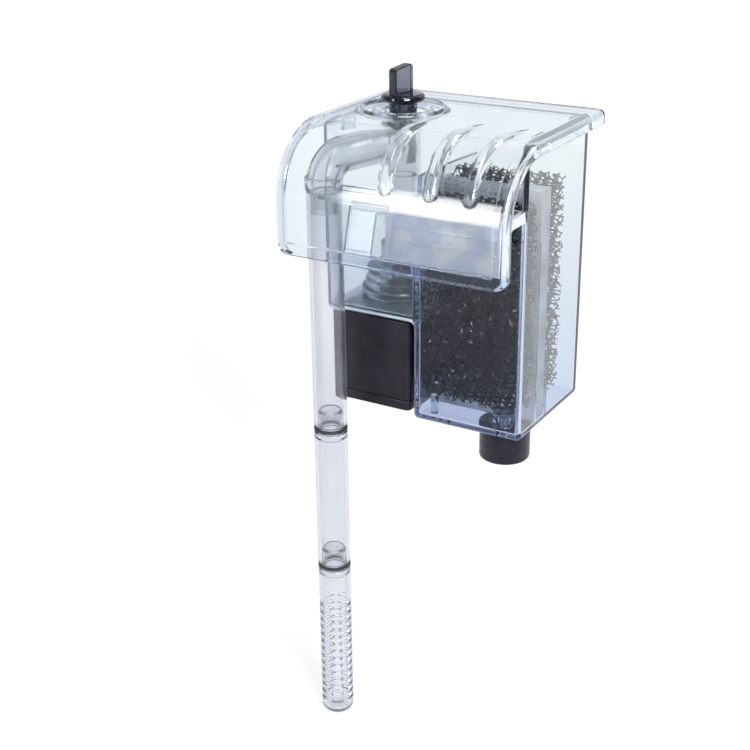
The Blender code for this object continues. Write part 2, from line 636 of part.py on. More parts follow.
def make_media():
    """Two foam blocks, and the carbon pad in its open-topped frame between the rails."""
    left = MEDIA_LEFT + WALL
    right = RIGHT - WALL
    box("foam_front", (left + 0.6, FRONT + WALL + 0.5, -90.6), (right - 0.6, RAIL_FRONT - 1.6, FRONT_FOAM_TOP), FOAM,
        rounding=1.5)
    box("foam_back", (left + 0.6, RAIL_BACK + 1.7, -90.6), (right - 0.6, 51.0, BACK_FOAM_TOP), FOAM, rounding=1.5)
    low, high = (left + 0.6, RAIL_FRONT + 0.4, TANK_BASE + WALL + 0.4), (right - 0.6, RAIL_BACK - 0.4, CARTRIDGE_TOP)
    frame = box("cartridge_frame", low, high, CLEAR, rounding=0.8, axes="y")
    window = ((low[0] + 2.4, low[1] - 2, low[2] + 4.0), (PAD_RIGHT + 0.4, high[1] + 2, high[2] + 5))
    cut(frame, box("cartridge_window", *window))
    box("carbon_pad", (window[0][0] + 0.4, low[1] + 0.4, window[0][2] + 0.4),
        (PAD_RIGHT, high[1] - 0.4, CARTRIDGE_TOP - 0.2), CARBON, rounding=1.2)


def make_cam():
    """Eccentric levelling spacer under the tank and the headed pin that it turns on."""
    pivot = bpy.data.objects.new("cam_pivot", None)
    PARTS.objects.link(pivot)
    pivot.location = (PIN_X * MM, PIN_Y * MM, 0.0)
    round_edge = 1.4
    cam = turned("levelling_cam",
                 [(0.0, CAM_TOP), (CAM_RADIUS, CAM_TOP), (CAM_RADIUS, CAM_BASE + round_edge),
                  (CAM_RADIUS - 0.5, CAM_BASE + 0.4), (CAM_RADIUS - round_edge, CAM_BASE), (0.0, CAM_BASE)],
                 CAM_X - PIN_X, CAM_Y - PIN_Y, BLACK, 40)
    cam.parent = pivot
    cut(cam,
        cylinder("cam_bore", PIN_X, PIN_Y, CAM_BASE - 2, CAM_TOP + 2, 2.3, steps=24),
        cylinder("pin_head_seat", PIN_X, PIN_Y, CAM_BASE - 2, CAM_BASE + 3.0, 3.2, steps=24))
    turned("cam_pin",
           [(0.0, -96.0), (1.9, -96.0), (1.9, CAM_BASE + 2.6), (2.8, CAM_BASE + 2.6), (2.8, CAM_BASE + 0.6),
            (0.0, CAM_BASE + 0.6)], PIN_X, PIN_Y, STEEL, 24)


clear_scene()
PARTS = collection("hang_on_back_filter")
TOOLS = collection("cutters")
make_tank()
make_lid()
make_motor()
make_rotor()
make_volute()
make_elbow()
make_valve()
make_intake()
make_media()
make_cam()
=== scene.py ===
"""Looks of the hang-on-back aquarium filter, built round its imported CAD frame.

Lengths are in millimetres, and MM turns them into metres when a mesh is made.
"""

import math

import bmesh
import bpy
import numpy as np
from mathutils import Matrix, Vector, noise


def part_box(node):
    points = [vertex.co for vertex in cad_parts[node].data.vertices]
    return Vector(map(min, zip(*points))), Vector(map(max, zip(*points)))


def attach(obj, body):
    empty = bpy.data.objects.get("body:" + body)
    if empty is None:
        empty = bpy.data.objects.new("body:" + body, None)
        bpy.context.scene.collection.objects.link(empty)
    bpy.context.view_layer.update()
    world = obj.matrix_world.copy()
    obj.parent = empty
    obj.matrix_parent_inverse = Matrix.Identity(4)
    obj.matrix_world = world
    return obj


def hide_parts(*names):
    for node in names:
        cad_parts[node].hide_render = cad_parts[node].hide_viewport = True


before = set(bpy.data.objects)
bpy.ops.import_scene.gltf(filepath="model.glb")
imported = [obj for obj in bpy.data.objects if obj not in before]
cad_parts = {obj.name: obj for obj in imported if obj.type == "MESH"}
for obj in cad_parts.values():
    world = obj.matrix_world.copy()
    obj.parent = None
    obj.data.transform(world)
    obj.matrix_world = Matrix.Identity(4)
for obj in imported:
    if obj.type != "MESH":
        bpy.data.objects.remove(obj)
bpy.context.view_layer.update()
MM = 0.001
GAP = 0.3


def corners(node):
    """A CAD node's lowest and highest corner, in millimetres."""
    low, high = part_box(node)
    return low / MM, high / MM


def middle(node):
    """The x and y of a CAD node's middle, in millimetres."""
    low, high = corners(node)
    return (low.x + high.x) / 2, (low.y + high.y) / 2


TANK_LOW, TANK_HIGH = corners("tank_body")
MOTOR_LOW, MOTOR_HIGH = corners("motor_housing")
CAP_LOW, CAP_HIGH = corners("motor_base_cap")
MAGNET_LOW, MAGNET_HIGH = corners("impeller_magnet")
CAM_LOW, CAM_HIGH = corners("levelling_cam")

LEFT, RIGHT = -50.0, 50.0
BACK = TANK_HIGH.y
FRONT = 6.5
WALL = 2.2
MEDIA_LEFT = -4.4
TANK_BASE = TANK_LOW.z
PUMP_FLOOR = -55.3
RIM_TOP = TANK_HIGH.z
WEIR_TOP = 4.0
BRIDGE = 2.4
RAMP_FRONT = -8.1
RAMP_FOOT = (-13.8, -18.5)
CHEEK = 3.3
RAMP_LEFT = -5.6
HOOK_LEFT, HOOK_RIGHT = -26.5, -13.5
RAIL_FRONT, RAIL_BACK = 24.4, 34.6
RAIL_TOP = -14.0
PEG_TOP = -91.0
BOSS_TOP = -93.2
PIN_TOP = -96.0
PIN_BORE = 2.3
ROTOR_BORE = 1.45
MOTOR_TOP = -56.6
CASING_TOP = -42.0
PUMP_INLET = -36.0
CORE = 4.7
SLOT_ROWS, SLOTS_ROUND, SLOT_PITCH = 14, 5, 4.2

PUMP = PUMP_X, PUMP_Y = middle("impeller_magnet")
TUBE = middle("intake_tube")
PIN = middle("cam_pin")
TUBE_TOP = corners("intake_tube")[1].z
TUBE_RADIUS = 7.8
TUBE_BORE = 6.2
PLUG = TUBE_BORE - GAP
SPIGOT = 9.5
UPPER_JOINT, LOWER_JOINT = -106.3, -179.1
STRAINER_BASE = corners("strainer")[0].z

LID_FRONT_Y = -25.5
LID_FOOT_Z = -20.7
LID_BACK_Y = 77.9
LID_HALF = 55.5
LID_BORDER = 5.6
BORDER_LINES = LID_BORDER + np.array([-0.34, -0.17, 0.0, 0.17, 0.34])
LID_STEP = 0.7
LID_TOP = 34.5
LID_SHEET = 2.4
LID_SKIRT = 6.2
LID_BEND = 32.0
KNOB_HOLE = 10.6
KNOB_TURN = 76.0


# ---- mesh tools

def place(name, data):
    item = bpy.data.objects.new(name, data)
    bpy.context.scene.collection.objects.link(item)
    return item


def from_bmesh(name, bm):
    mesh = bpy.data.meshes.new(name)
    bm.to_mesh(mesh)
    bm.free()
    return place(name, mesh)


def from_arrays(name, points, faces):
    """An object from points in millimetres and lists of corner numbers."""
    mesh = bpy.data.meshes.new(name)
    mesh.from_pydata([tuple(p) for p in np.asarray(points, float) * MM], [], faces)
    return place(name, mesh)


def edit(item, work, part, **settings):
    """Runs one bmesh operation on all of an object's verts or faces."""
    bm = bmesh.new()
    bm.from_mesh(item.data)
    work(bm, **{part: getattr(bm, part)}, **settings)
    bm.to_mesh(item.data)
    bm.free()
    return item


def outward(item):
    return edit(item, bmesh.ops.recalc_face_normals, "faces")


def settle(item):
    """Replaces an object's mesh with what its modifiers make of it."""
    bpy.context.view_layer.update()
    evaluated = item.evaluated_get(bpy.context.evaluated_depsgraph_get())
    mesh = bpy.data.meshes.new_from_object(evaluated)
    old = item.data
    item.modifiers.clear()
    item.data = mesh
    mesh.name = item.name
    bpy.data.meshes.remove(old)
    return item


WELD = 0.002


def combine(target, operation, tools):
    """Booleans one object with others, then merges the doubled points that they may leave."""
    for tool in tools:
        step = target.modifiers.new(tool.name, "BOOLEAN")
        step.operation = operation
        step.solver = "EXACT"
        step.object = tool
    settle(target)
    for tool in tools:
        bpy.data.objects.remove(tool, do_unlink=True)
    return edit(target, bmesh.ops.remove_doubles, "verts", dist=WELD * MM)


def cut(target, *tools):
    return combine(target, "DIFFERENCE", tools)


def join(target, *tools):
    return combine(target, "UNION", tools)


def bevel(item, width, segments, degrees):
    """Rounds every edge sharper than an angle."""
    step = item.modifiers.new("edge", "BEVEL")
    step.width = width * MM
    step.segments = segments
    step.limit_method = "ANGLE"
    step.angle_limit = math.radians(degrees)
    return settle(item)


def stand(item, place_at, degrees):
    """Moves an object made about the origin to a place, turned about the vertical."""
    item.location = (place_at[0] * MM, place_at[1] * MM, 0.0)
    item.rotation_euler.z = math.radians(degrees)
    return item


def shade(item):
    """Smooths the shading, apart from sharp edges, and evens it over flat faces."""
    item.data.shade_smooth()
    item.data.set_sharp_from_angle(angle=math.radians(40))
    weigh = item.modifiers.new("normals", "WEIGHTED_NORMAL")
    weigh.keep_sharp = True
    weigh.weight = 60
    return item


def block(low, high):
    """A plain box between two corners, with its size and its centre in metres."""
    size = Vector([(b - a) * MM for a, b in zip(low, high)])
    centre = Vector([(a + b) / 2 * MM for a, b in zip(low, high)])
    bm = bmesh.new()
    bmesh.ops.create_cube(bm, size=1.0, matrix=Matrix.Translation(centre) @ Matrix.Diagonal((*size, 1.0)))
    return bm, size, centre


def box(name, low, high, rounding=0.0, axes="xyz", segments=5):
    """A box between two corners, with its edges along the named axes rounded."""
    bm = block(low, high)[0]
    if rounding:
        chosen = []
        for edge in bm.edges:
            along = edge.verts[1].co - edge.verts[0].co
            if "xyz"[max(range(3), key=lambda i: abs(along[i]))] in axes:
                chosen.append(edge)
        bmesh.ops.bevel(bm, geom=chosen, offset=rounding * MM, segments=segments, affect="EDGES",
                        profile=0.5, clamp_overlap=True)
    return from_bmesh(name, bm)


def fillet(points, radius, steps=4, closed=False):
    """A flat line with its corners rounded; a point may carry its own radius as a third number."""
    count = len(points)
    out = []
    for i, point in enumerate(points):
        corner = Vector(point[:2])
        own = point[2] if len(point) > 2 else radius
        back = Vector(points[i - 1][:2]) - corner
        ahead = Vector(points[(i + 1) % count][:2]) - corner
        half = back.angle(ahead, 0.0) / 2
        if (not closed and i in (0, count - 1)) or own <= 0 or half > math.radians(88):
            out.append(tuple(corner))
            continue
        at_start, at_finish = not closed and i == 1, not closed and i == count - 2
        reach = min(own / math.tan(half), back.length * (0.97 if at_start else 0.49),
                    ahead.length * (0.97 if at_finish else 0.49))
        own = reach * math.tan(half)
        centre = corner + (back.normalized() + ahead.normalized()).normalized() * own / math.sin(half)
        start = corner + back.normalized() * reach - centre
        finish = corner + ahead.normalized() * reach - centre
        turn = start.angle(finish)
        for k in range(steps + 1):
            t = k / steps
            arm = (start * math.sin((1 - t) * turn) + finish * math.sin(t * turn)) / math.sin(turn)
            out.append(tuple(centre + arm))
    return out


def turned(name, profile, x, y, steps=72, rounding=0.3, closed=False):
    """Turns a line of (radius, z) points about the vertical line through x, y."""
    line = fillet(profile, rounding, 3, closed)
    angles = np.linspace(0, 2 * math.pi, steps, endpoint=False)
    points, rows = [], []
    for radius, z in line:
        if radius < 1e-6:
            rows.append([len(points)])
            points.append((x, y, z))
        else:
            rows.append(list(range(len(points), len(points) + steps)))
            points += [(x + radius * math.cos(a), y + radius * math.sin(a), z) for a in angles]
    faces = []
    pairs = list(zip(rows, rows[1:])) + ([(rows[-1], rows[0])] if closed else [])
    for upper, lower in pairs:
        for k in range(steps):
            ring = [upper[k % len(upper)], upper[(k + 1) % len(upper)],
                    lower[(k + 1) % len(lower)], lower[k % len(lower)]]
            ring = list(dict.fromkeys(ring))
            if len(ring) > 2:
                faces.append(ring)
    return outward(from_arrays(name, points, faces))


def cylinder(name, x, y, bottom, top, radius, steps, rounding=0.0):
    return turned(name, [(0, top), (radius, top), (radius, bottom), (0, bottom)], x, y, steps, rounding)


def ring(name, x, y, bottom, top, inner, outer, steps, rounding):
    profile = [(outer, top), (outer, bottom), (inner, bottom), (inner, top)]
    return turned(name, profile, x, y, steps, rounding, closed=True)


def o_ring(name, x, y, z, radius, thickness, steps=72):
    profile = [(radius + thickness * math.cos(a), z + thickness * math.sin(a))
               for a in np.linspace(0, -2 * math.pi, 16, endpoint=False)]
    return turned(name, profile, x, y, steps, 0.0, closed=True)


def prism(name, outline, plane, low, high):
    """A flat outline in the xz or yz plane, extruded along the third axis from low to high."""
    order = {"xz": lambda a, b, c: (a, c, b), "yz": lambda a, b, c: (c, a, b)}[plane]
    count = len(outline)
    points = [order(a, b, low) for a, b in outline] + [order(a, b, high) for a, b in outline]
    faces = [list(range(count)), list(range(2 * count - 1, count - 1, -1))]
    faces += [[i, (i + 1) % count, count + (i + 1) % count, count + i] for i in range(count)]
    return outward(from_arrays(name, points, faces))


def sweep(name, path, radius, sides):
    """A round bar with flat ends along a list of 3D points."""
    path = [Vector(p) for p in path]
    end = len(path) - 1
    tangents = [(path[min(i + 1, end)] - path[max(i - 1, 0)]).normalized() for i in range(end + 1)]
    side = tangents[0].orthogonal().normalized()
    points, faces = [], []
    for i, (point, tangent) in enumerate(zip(path, tangents)):
        if i:
            side = tangents[i - 1].rotation_difference(tangent) @ side
        up = tangent.cross(side)
        for k in range(sides):
            a = 2 * math.pi * k / sides
            points.append(point + (side * math.cos(a) + up * math.sin(a)) * radius)
        if i:
            first, last = (i - 1) * sides, i * sides
            faces += [[first + k, first + (k + 1) % sides, last + (k + 1) % sides, last + k]
                      for k in range(sides)]
    faces += [list(range(sides)), list(range(len(points) - 1, len(points) - 1 - sides, -1))]
    return outward(from_arrays(name, points, faces))


def rounded_path(points, radius, steps):
    return [Vector(p) for p in fillet(points, radius, steps)]


def beside(path, distance):
    """The flat path moved to its right-hand side by a distance."""
    moved = []
    for i, point in enumerate(path):
        before = path[max(i - 1, 0)]
        after = path[min(i + 1, len(path) - 1)]
        first = (point - before).normalized() if i else (after - point).normalized()
        second = (after - point).normalized() if i < len(path) - 1 else first
        normal = Vector((first.y + second.y, -first.x - second.x))
        normal /= normal.length * math.cos(first.angle(second) / 2)
        moved.append(point + normal * distance)
    return moved


def band(path, near, far):
    return [tuple(p) for p in beside(path, near)] + [tuple(p) for p in reversed(beside(path, far))]


# ---- materials

def add(tree, kind, inputs, **settings):
    """The outputs of a new shader node; its inputs are values, or other outputs to link."""
    node = tree.nodes.new("ShaderNode" + kind)
    for name, value in settings.items():
        setattr(node, name, value)
    for name, value in inputs.items():
        if isinstance(value, bpy.types.NodeSocket):
            tree.links.new(value, node.inputs[name])
        else:
            node.inputs[name].default_value = value
    return node.outputs


def calculate(tree, operation, first, second):
    return add(tree, "Math", {0: first, 1: second}, operation=operation)["Value"]


def blended(tree, amount, first, second):
    """Colour that goes from the first to the second as an amount goes from 0 to 1."""
    return add(tree, "Mix", {"Factor": amount, "A": first, "B": second}, data_type="RGBA")["Result"]


class Look:
    """A Principled material and short ways to add texture nodes to it."""

    def __init__(self, name, colour, roughness, metallic=0.0, **sockets):
        self.made = bpy.data.materials.new(name)
        self.made.use_nodes = True
        self.tree = self.made.node_tree
        self.shader = self.tree.nodes["Principled BSDF"]
        sockets.update({"Base Color": (*colour, 1.0), "Roughness": roughness, "Metallic": metallic})
        for socket, value in sockets.items():
            self.shader.inputs[socket].default_value = value
        self.where = self.add("TexCoord", {})["Object"]
        self.normal = None

    def add(self, kind, inputs, **settings):
        return add(self.tree, kind, inputs, **settings)

    def link(self, output, name):
        self.tree.links.new(output, self.shader.inputs[name])

    def noise(self, scale, detail, stretch=None):
        where = self.where
        if stretch:
            where = self.add("Mapping", {"Scale": stretch, "Vector": where})["Vector"]
        return self.add("TexNoise", {"Scale": scale, "Detail": detail, "Vector": where})["Fac"]

    def spread(self, value, low, high, start=0.3, end=0.7):
        return self.add("MapRange", {"From Min": start, "From Max": end, "To Min": low, "To Max": high,
                                     "Value": value})["Result"]

    def rough(self, value, low, high):
        self.link(self.spread(value, low, high), "Roughness")

    def paint(self, amount, first, second):
        self.colour = blended(self.tree, amount, first, (*second, 1.0))
        self.link(self.colour, "Base Color")

    def tint(self, value, first, second, start=0.3, end=0.7):
        self.paint(self.spread(value, 0.0, 1.0, start, end), (*first, 1.0), second)

    def overlay(self, amount, colour):
        """Lays a second colour over the tinted one, by an amount from 0 to 1."""
        self.paint(amount, self.colour, colour)

    def past(self, axis, start, end):
        """0 before a place along an axis and 1 beyond another, in millimetres."""
        place = self.add("SeparateXYZ", {"Vector": self.where})[axis]
        return self.spread(place, 0.0, 1.0, start * MM, end * MM)

    def within(self, axis, low, high):
        """1 between two places along an axis and 0 outside them, with a soft change, in millimetres."""
        soft = 0.15
        return self.times(self.past(axis, low - soft, low + soft), self.past(axis, high + soft, high - soft))

    def plus(self, first, second):
        return calculate(self.tree, "ADD", first, second)

    def times(self, first, second):
        return calculate(self.tree, "MULTIPLY", first, second)

    def bump(self, value, strength, distance):
        inputs = {"Strength": strength, "Distance": distance, "Height": value}
        if self.normal:
            inputs["Normal"] = self.normal
        self.normal = self.add("Bump", inputs)["Normal"]
        self.link(self.normal, "Normal")

    def absorb(self, colour, density):
        volume = self.add("VolumeAbsorption", {"Color": (*colour, 1.0), "Density": density})["Volume"]
        self.tree.links.new(volume, self.tree.nodes["Material Output"].inputs["Volume"])


FINE = 0.0001
LAVENDER = (0.34, 0.42, 0.60)


def clear_plastic(name, tint, second, density, waviness, cast=LAVENDER):
    """Moulded clear plastic: faint flow marks, haze that varies, and a lavender cast along its thickness."""
    look = Look(name, tint, 0.02, IOR=1.5, **{"Transmission Weight": 1.0})
    flow = look.noise(45.0, 2.0, (1.0, 1.0, 0.55))
    look.tint(flow, tint, second)
    look.haze = look.spread(look.noise(120.0, 4.0), 0.012, 0.05)
    look.link(look.haze, "Roughness")
    look.bump(flow, waviness, 4 * FINE)
    look.bump(look.noise(900.0, 3.0), 0.03, FINE)
    look.absorb(cast, density)
    return look


def lid_plastic():
    """The lid's clear plastic, with painted shade: bluer at the front foot towards the right and a little
    greyer to the left.
    """
    look = clear_plastic("clear_lid_look", (0.925, 0.955, 0.96), (0.95, 0.97, 0.975), 34.0, 0.2)
    foot = look.past("Z", LID_FOOT_Z + 6.2, LID_FOOT_Z + 5.2)
    # Painted shade: a bluer band along the front foot that fades out to the left, and a little grey over the
    # left end.
    look.overlay(look.times(foot, look.past("X", -30.0, 12.0)), (0.58, 0.67, 0.85))
    look.overlay(look.past("X", -22.0, -55.0), (0.86, 0.90, 0.935))
    return look.made


def tank_plastic():
    """The tank's clear plastic: darker and bluer lower down, which is painted shade, lavender where a plate
    is seen through its thickness, milky on the pump chamber's floor and hammered on the spillway."""
    look = clear_plastic("clear_tank_look", (0.92, 0.955, 0.955), (0.94, 0.97, 0.965), 30.0, 0.12)
    side = look.past("X", RIGHT - WALL - 0.3, RIGHT - WALL)
    base = look.within("Z", TANK_BASE - 1, TANK_BASE + WALL)
    pump_floor = look.times(look.within("Z", PUMP_FLOOR - 1, PUMP_FLOOR + WALL),
                            look.past("X", MEDIA_LEFT + 0.2, MEDIA_LEFT))
    lower = look.past("Z", 3.0, 1.0)
    edge = (0.64, 0.67, 0.86)
    # Painted shade: the plastic grows darker and bluer from 10 mm down to -110 mm.
    look.overlay(look.past("Z", 10.0, -110.0), (0.74, 0.80, 0.90))
    look.overlay(base, edge)
    look.overlay(look.times(base, side), (0.50, 0.54, 0.76))
    look.overlay(pump_floor, (0.80, 0.92, 0.98))
    look.overlay(look.times(look.within("X", MEDIA_LEFT, MEDIA_LEFT + WALL), lower), edge)
    look.overlay(look.times(look.times(side, look.within("Y", FRONT - 1, FRONT + WALL)), lower), edge)
    look.overlay(look.times(side, look.within("Y", BACK - WALL, BACK + 1)), (0.72, 0.76, 0.90))
    spillway = look.times(look.past("X", RAMP_LEFT - 0.5, RAMP_LEFT), look.past("Z", WEIR_TOP + 1, WEIR_TOP))
    spillway = look.times(spillway, look.past("Y", FRONT - 0.3, FRONT - 0.6))
    patches = look.spread(look.noise(130.0, 5.0, (0.6, 1.0, 1.0)), 0.0, 1.0, 0.42, 0.60)
    look.overlay(spillway, (0.74, 0.77, 0.92))
    look.overlay(look.times(spillway, patches), (0.99, 0.99, 1.0))
    hammered = look.times(spillway, look.spread(look.noise(110.0, 3.0, (0.4, 1.0, 1.0)), 0.85, 0.35))
    milky = calculate(look.tree, "MAXIMUM", hammered, look.times(pump_floor, 0.5))
    look.link(look.plus(look.times(milky, -1.0), 1.0), "Transmission Weight")
    look.link(look.plus(look.times(spillway, 0.3), look.haze), "Roughness")
    return look.made


def outline_shaded_plastic(name, tint, second, density, edge, milk, cast=LAVENDER):
    """Clear plastic with painted shade that darkens it towards its outline, and a little milkiness."""
    look = clear_plastic(name, tint, second, density, 0.3, cast)
    # Painted shade: the edge colour is laid on where the surface turns away from the view.
    look.overlay(look.add("LayerWeight", {"Blend": 0.35})["Facing"], edge)
    look.link(look.spread(look.noise(60.0, 2.0), 1.0 - milk * 1.4, 1.0 - milk * 0.6), "Transmission Weight")
    return look.made


def grained(name, first, second, tint, rough, roughness, grain, bump, **sockets):
    """An opaque finish; tint, rough and grain are the noises of its colour, its gloss and its relief."""
    look = Look(name, first, roughness[0], **sockets)
    look.tint(look.noise(*tint), first, second)
    look.rough(look.noise(*rough), *roughness)
    look.bump(look.noise(*grain), bump, FINE)
    return look.made


def black_plastic(name, first, second, roughness):
    return grained(name, first, second, (160.0, 5.0), (420.0, 5.0), roughness, (2600.0, 3.0), 0.22,
                   **{"Specular IOR Level": 0.3})


def carbon_look():
    look = Look("carbon_look", (0.24, 0.26, 0.28), 0.9)
    look.tint(look.noise(1500.0, 6.0), (0.13, 0.145, 0.165), (0.44, 0.48, 0.53), 0.35, 0.65)
    look.rough(look.noise(900.0, 3.0), 0.75, 1.0)
    cells = look.add("TexVoronoi", {"Scale": 1300.0, "Vector": look.where})["Distance"]
    look.bump(cells, 0.8, 3 * FINE)
    return look.made


def smoke_look():
    look = Look("smoke_look", (0.80, 0.82, 0.88), 0.08, IOR=1.49, **{"Transmission Weight": 1.0})
    flow = look.noise(180.0, 2.0)
    look.tint(flow, (0.74, 0.77, 0.84), (0.84, 0.86, 0.91))
    look.rough(look.noise(500.0, 4.0), 0.05, 0.16)
    look.bump(flow, 0.3, 3 * FINE)
    look.absorb((0.02, 0.05, 0.14), 260.0)
    return look.made


def banded(name, scale, axis, first, second, rough, roughness, bump, depth):
    """Metal in fine parallel bands, such as wound wire or stacked plates."""
    look = Look(name, first, roughness[0], 1.0)
    bands = look.add("TexWave", {"Scale": scale, "Distortion": 0.4, "Vector": look.where},
                     bands_direction=axis)["Fac"]
    look.tint(bands, first, second)
    look.rough(look.noise(*rough), *roughness)
    look.bump(bands, bump, depth)
    return look.made


CLEAR_TANK = tank_plastic()
CLEAR_LID = lid_plastic()
CLEAR_TUBE = outline_shaded_plastic("clear_tube_look", (0.94, 0.95, 0.965), (0.96, 0.965, 0.975), 45.0,
                           (0.56, 0.58, 0.66), 0.05, (0.34, 0.38, 0.52))
CLEAR_ELBOW = outline_shaded_plastic("clear_elbow_look", (0.97, 0.98, 0.985), (0.99, 0.99, 0.995), 12.0,
                            (0.95, 0.96, 0.98), 0.12)
CLEAR_PUMP = outline_shaded_plastic("clear_pump_look", (0.86, 0.94, 0.965), (0.92, 0.97, 0.985), 20.0,
                           (0.62, 0.72, 0.80), 0.16)
CLEAR_FRAME = outline_shaded_plastic("clear_frame_look", (0.86, 0.89, 0.90), (0.93, 0.95, 0.955), 30.0,
                            (0.80, 0.83, 0.86), 0.5)
MOTOR_BLACK = black_plastic("motor_black_look", (0.009, 0.007, 0.011), (0.0173, 0.0139, 0.0207), (0.30, 0.50))
CAM_BLACK = black_plastic("cam_black_look", (0.011, 0.009, 0.014), (0.0207, 0.0173, 0.0258), (0.24, 0.44))
RUBBER = grained("rubber_look", (0.010, 0.010, 0.012), (0.022, 0.022, 0.026), (500.0, 4.0),
                 (900.0, 3.0), (0.5, 0.75), (3000.0, 2.0), 0.2)
BRUSHED = (900.0, 4.0, (1, 1, 6))
STEEL = grained("steel_look", (0.60, 0.61, 0.63), (0.48, 0.488, 0.504), BRUSHED,
                BRUSHED, (0.22, 0.42), BRUSHED, 0.1, metallic=1.0)
CERAMIC = grained("ceramic_look", (0.88, 0.87, 0.83), (0.82, 0.81, 0.77), (700.0, 4.0),
                  (280.0, 3.0), (0.14, 0.32), (700.0, 4.0), 0.05)
FERRITE = grained("ferrite_look", (0.06, 0.06, 0.066), (0.035, 0.035, 0.04), (900.0, 4.0),
                  (360.0, 3.0), (0.42, 0.6), (900.0, 4.0), 0.3)
NYLON = grained("nylon_look", (0.80, 0.80, 0.78), (0.74, 0.74, 0.72), (500.0, 4.0),
                (200.0, 3.0), (0.37, 0.55), (500.0, 4.0), 0.1)
FOAM = grained("foam_look", (0.003, 0.0025, 0.004), (0.008, 0.007, 0.010), (260.0, 4.0),
               (700.0, 3.0), (0.08, 0.2), (1500.0, 2.0), 0.15, **{"Specular IOR Level": 0.45})
COPPER = banded("copper_look", 1100.0, "X", (0.42, 0.16, 0.07), (0.80, 0.40, 0.20),
                (600.0, 3.0), (0.22, 0.4), 0.8, 2 * FINE)
LAMINATED = banded("laminated_look", 650.0, "Z", (0.30, 0.31, 0.33), (0.56, 0.57, 0.59),
                   (700.0, 4.0), (0.3, 0.5), 0.6, FINE)
CARBON = carbon_look()
SMOKE = smoke_look()


def hand_over(item, body, slot, look, *nodes):
    """Gives a piece its look, rides it on a body and lets it stand for CAD nodes; its slot is not used."""
    item.data.materials.clear()
    item.data.materials.append(look)
    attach(item, body)
    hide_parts(*nodes)
    return item


# ---- tank

def spillway_path(inset=0.0):
    middle = BRIDGE / 2
    foot = Vector(RAMP_FOOT).lerp(Vector((RAMP_FRONT, middle)), inset / 20)
    return rounded_path([(FRONT + 1.5 - inset, middle), (RAMP_FRONT, middle), foot], 3.0, 10)


def make_tank():
    outline = [(LEFT, RIM_TOP, 0), (LEFT, PUMP_FLOOR), (MEDIA_LEFT, PUMP_FLOOR), (MEDIA_LEFT, TANK_BASE),
               (RIGHT, TANK_BASE), (RIGHT, RIM_TOP, 0)]
    tank = prism("tank_shell", fillet(outline, 2.6, 8, closed=True), "xz", FRONT, BACK)
    bevel(tank, 2.0, 6, 60)
    floor = TANK_BASE + WALL
    pump_floor = PUMP_FLOOR + WALL
    above = RIM_TOP + 10
    cut(tank,
        box("media", (MEDIA_LEFT + WALL, FRONT + WALL, floor), (RIGHT - WALL, BACK - WALL, above), 1.5),
        box("pump", (LEFT + WALL, FRONT + WALL, pump_floor), (MEDIA_LEFT, BACK - WALL, above), 1.5),
        box("weir", (LEFT + WALL, FRONT - 3, WEIR_TOP), (RIGHT - WALL, FRONT + WALL + 3, above)),
        box("partition", (MEDIA_LEFT - 2, FRONT - 2, WEIR_TOP + 8),
            (MEDIA_LEFT + WALL + 2, BACK - WALL, above)))
    bridge = prism("bridge", band(spillway_path(), -BRIDGE / 2, BRIDGE / 2), "yz", LEFT + 0.2, RIGHT - 0.2)
    cheek = band(spillway_path(0.4), 0.0, CHEEK)
    join(bridge,
         prism("right_cheek", cheek, "yz", RIGHT - WALL - 0.4, RIGHT - 0.5),
         prism("left_cheek", cheek, "yz", RAMP_LEFT, RAMP_LEFT + WALL))
    cut(bridge,
        box("notch", (LEFT - 5, -30, -30), (HOOK_LEFT, TUBE[1] + TUBE_RADIUS + 0.9, 10)),
        box("hook_gap", (HOOK_RIGHT, -30, -30), (RAMP_LEFT - 0.7, -6.9, -1.0)))
    for share in (0.28, 0.58):
        y, z = Vector((RAMP_FRONT - 1.1, BRIDGE / 2)).lerp(Vector((RAMP_FOOT[0] - 1.1, RAMP_FOOT[1])), share)
        join(bridge, sweep("ridge", [(RAMP_LEFT + 1.0, y, z), (RIGHT - WALL - 1.0, y, z)], 0.5, 20))
    join(tank, bridge)
    for y in (RAIL_FRONT - 1.2, RAIL_BACK):
        for x in (MEDIA_LEFT + WALL - 0.5, RIGHT - WALL - 1.5):
            join(tank, box("rail", (x, y, floor - 0.5), (x + 2.0, y + 1.2, RAIL_TOP)))
    for x, y in ((MEDIA_LEFT + 8, 14.0), (MEDIA_LEFT + 8, 45.0), (RIGHT - 8, 45.0)):
        join(tank, cylinder("peg", x, y, floor - 0.6, PEG_TOP, 1.8, 32))
    join(tank, cylinder("boss", *PIN, floor - 0.6, BOSS_TOP, 5.0, 48))
    cut(tank,
        cylinder("pin_hole", *PIN, TANK_BASE - 2, PIN_TOP + 0.6, PIN_BORE, 32),
        cylinder("motor_hole", *PUMP, PUMP_FLOOR - 2, pump_floor + 2, 11.6, 64),
        box("slot", (MEDIA_LEFT - 2, 52.0, -48.0), (MEDIA_LEFT + WALL + 2, 64.0, -30.0), 2.0, "x"))
    bevel(tank, 0.35, 2, 55)
    hand_over(shade(tank), "tank", "clear_tank", CLEAR_TANK, "tank_body")


# ---- lid

STRAIGHT_1 = LID_TOP - LID_BEND - LID_FOOT_Z
ARC = LID_BEND * math.pi / 2
LID_LENGTH = STRAIGHT_1 + ARC + LID_BACK_Y - LID_FRONT_Y - LID_BEND


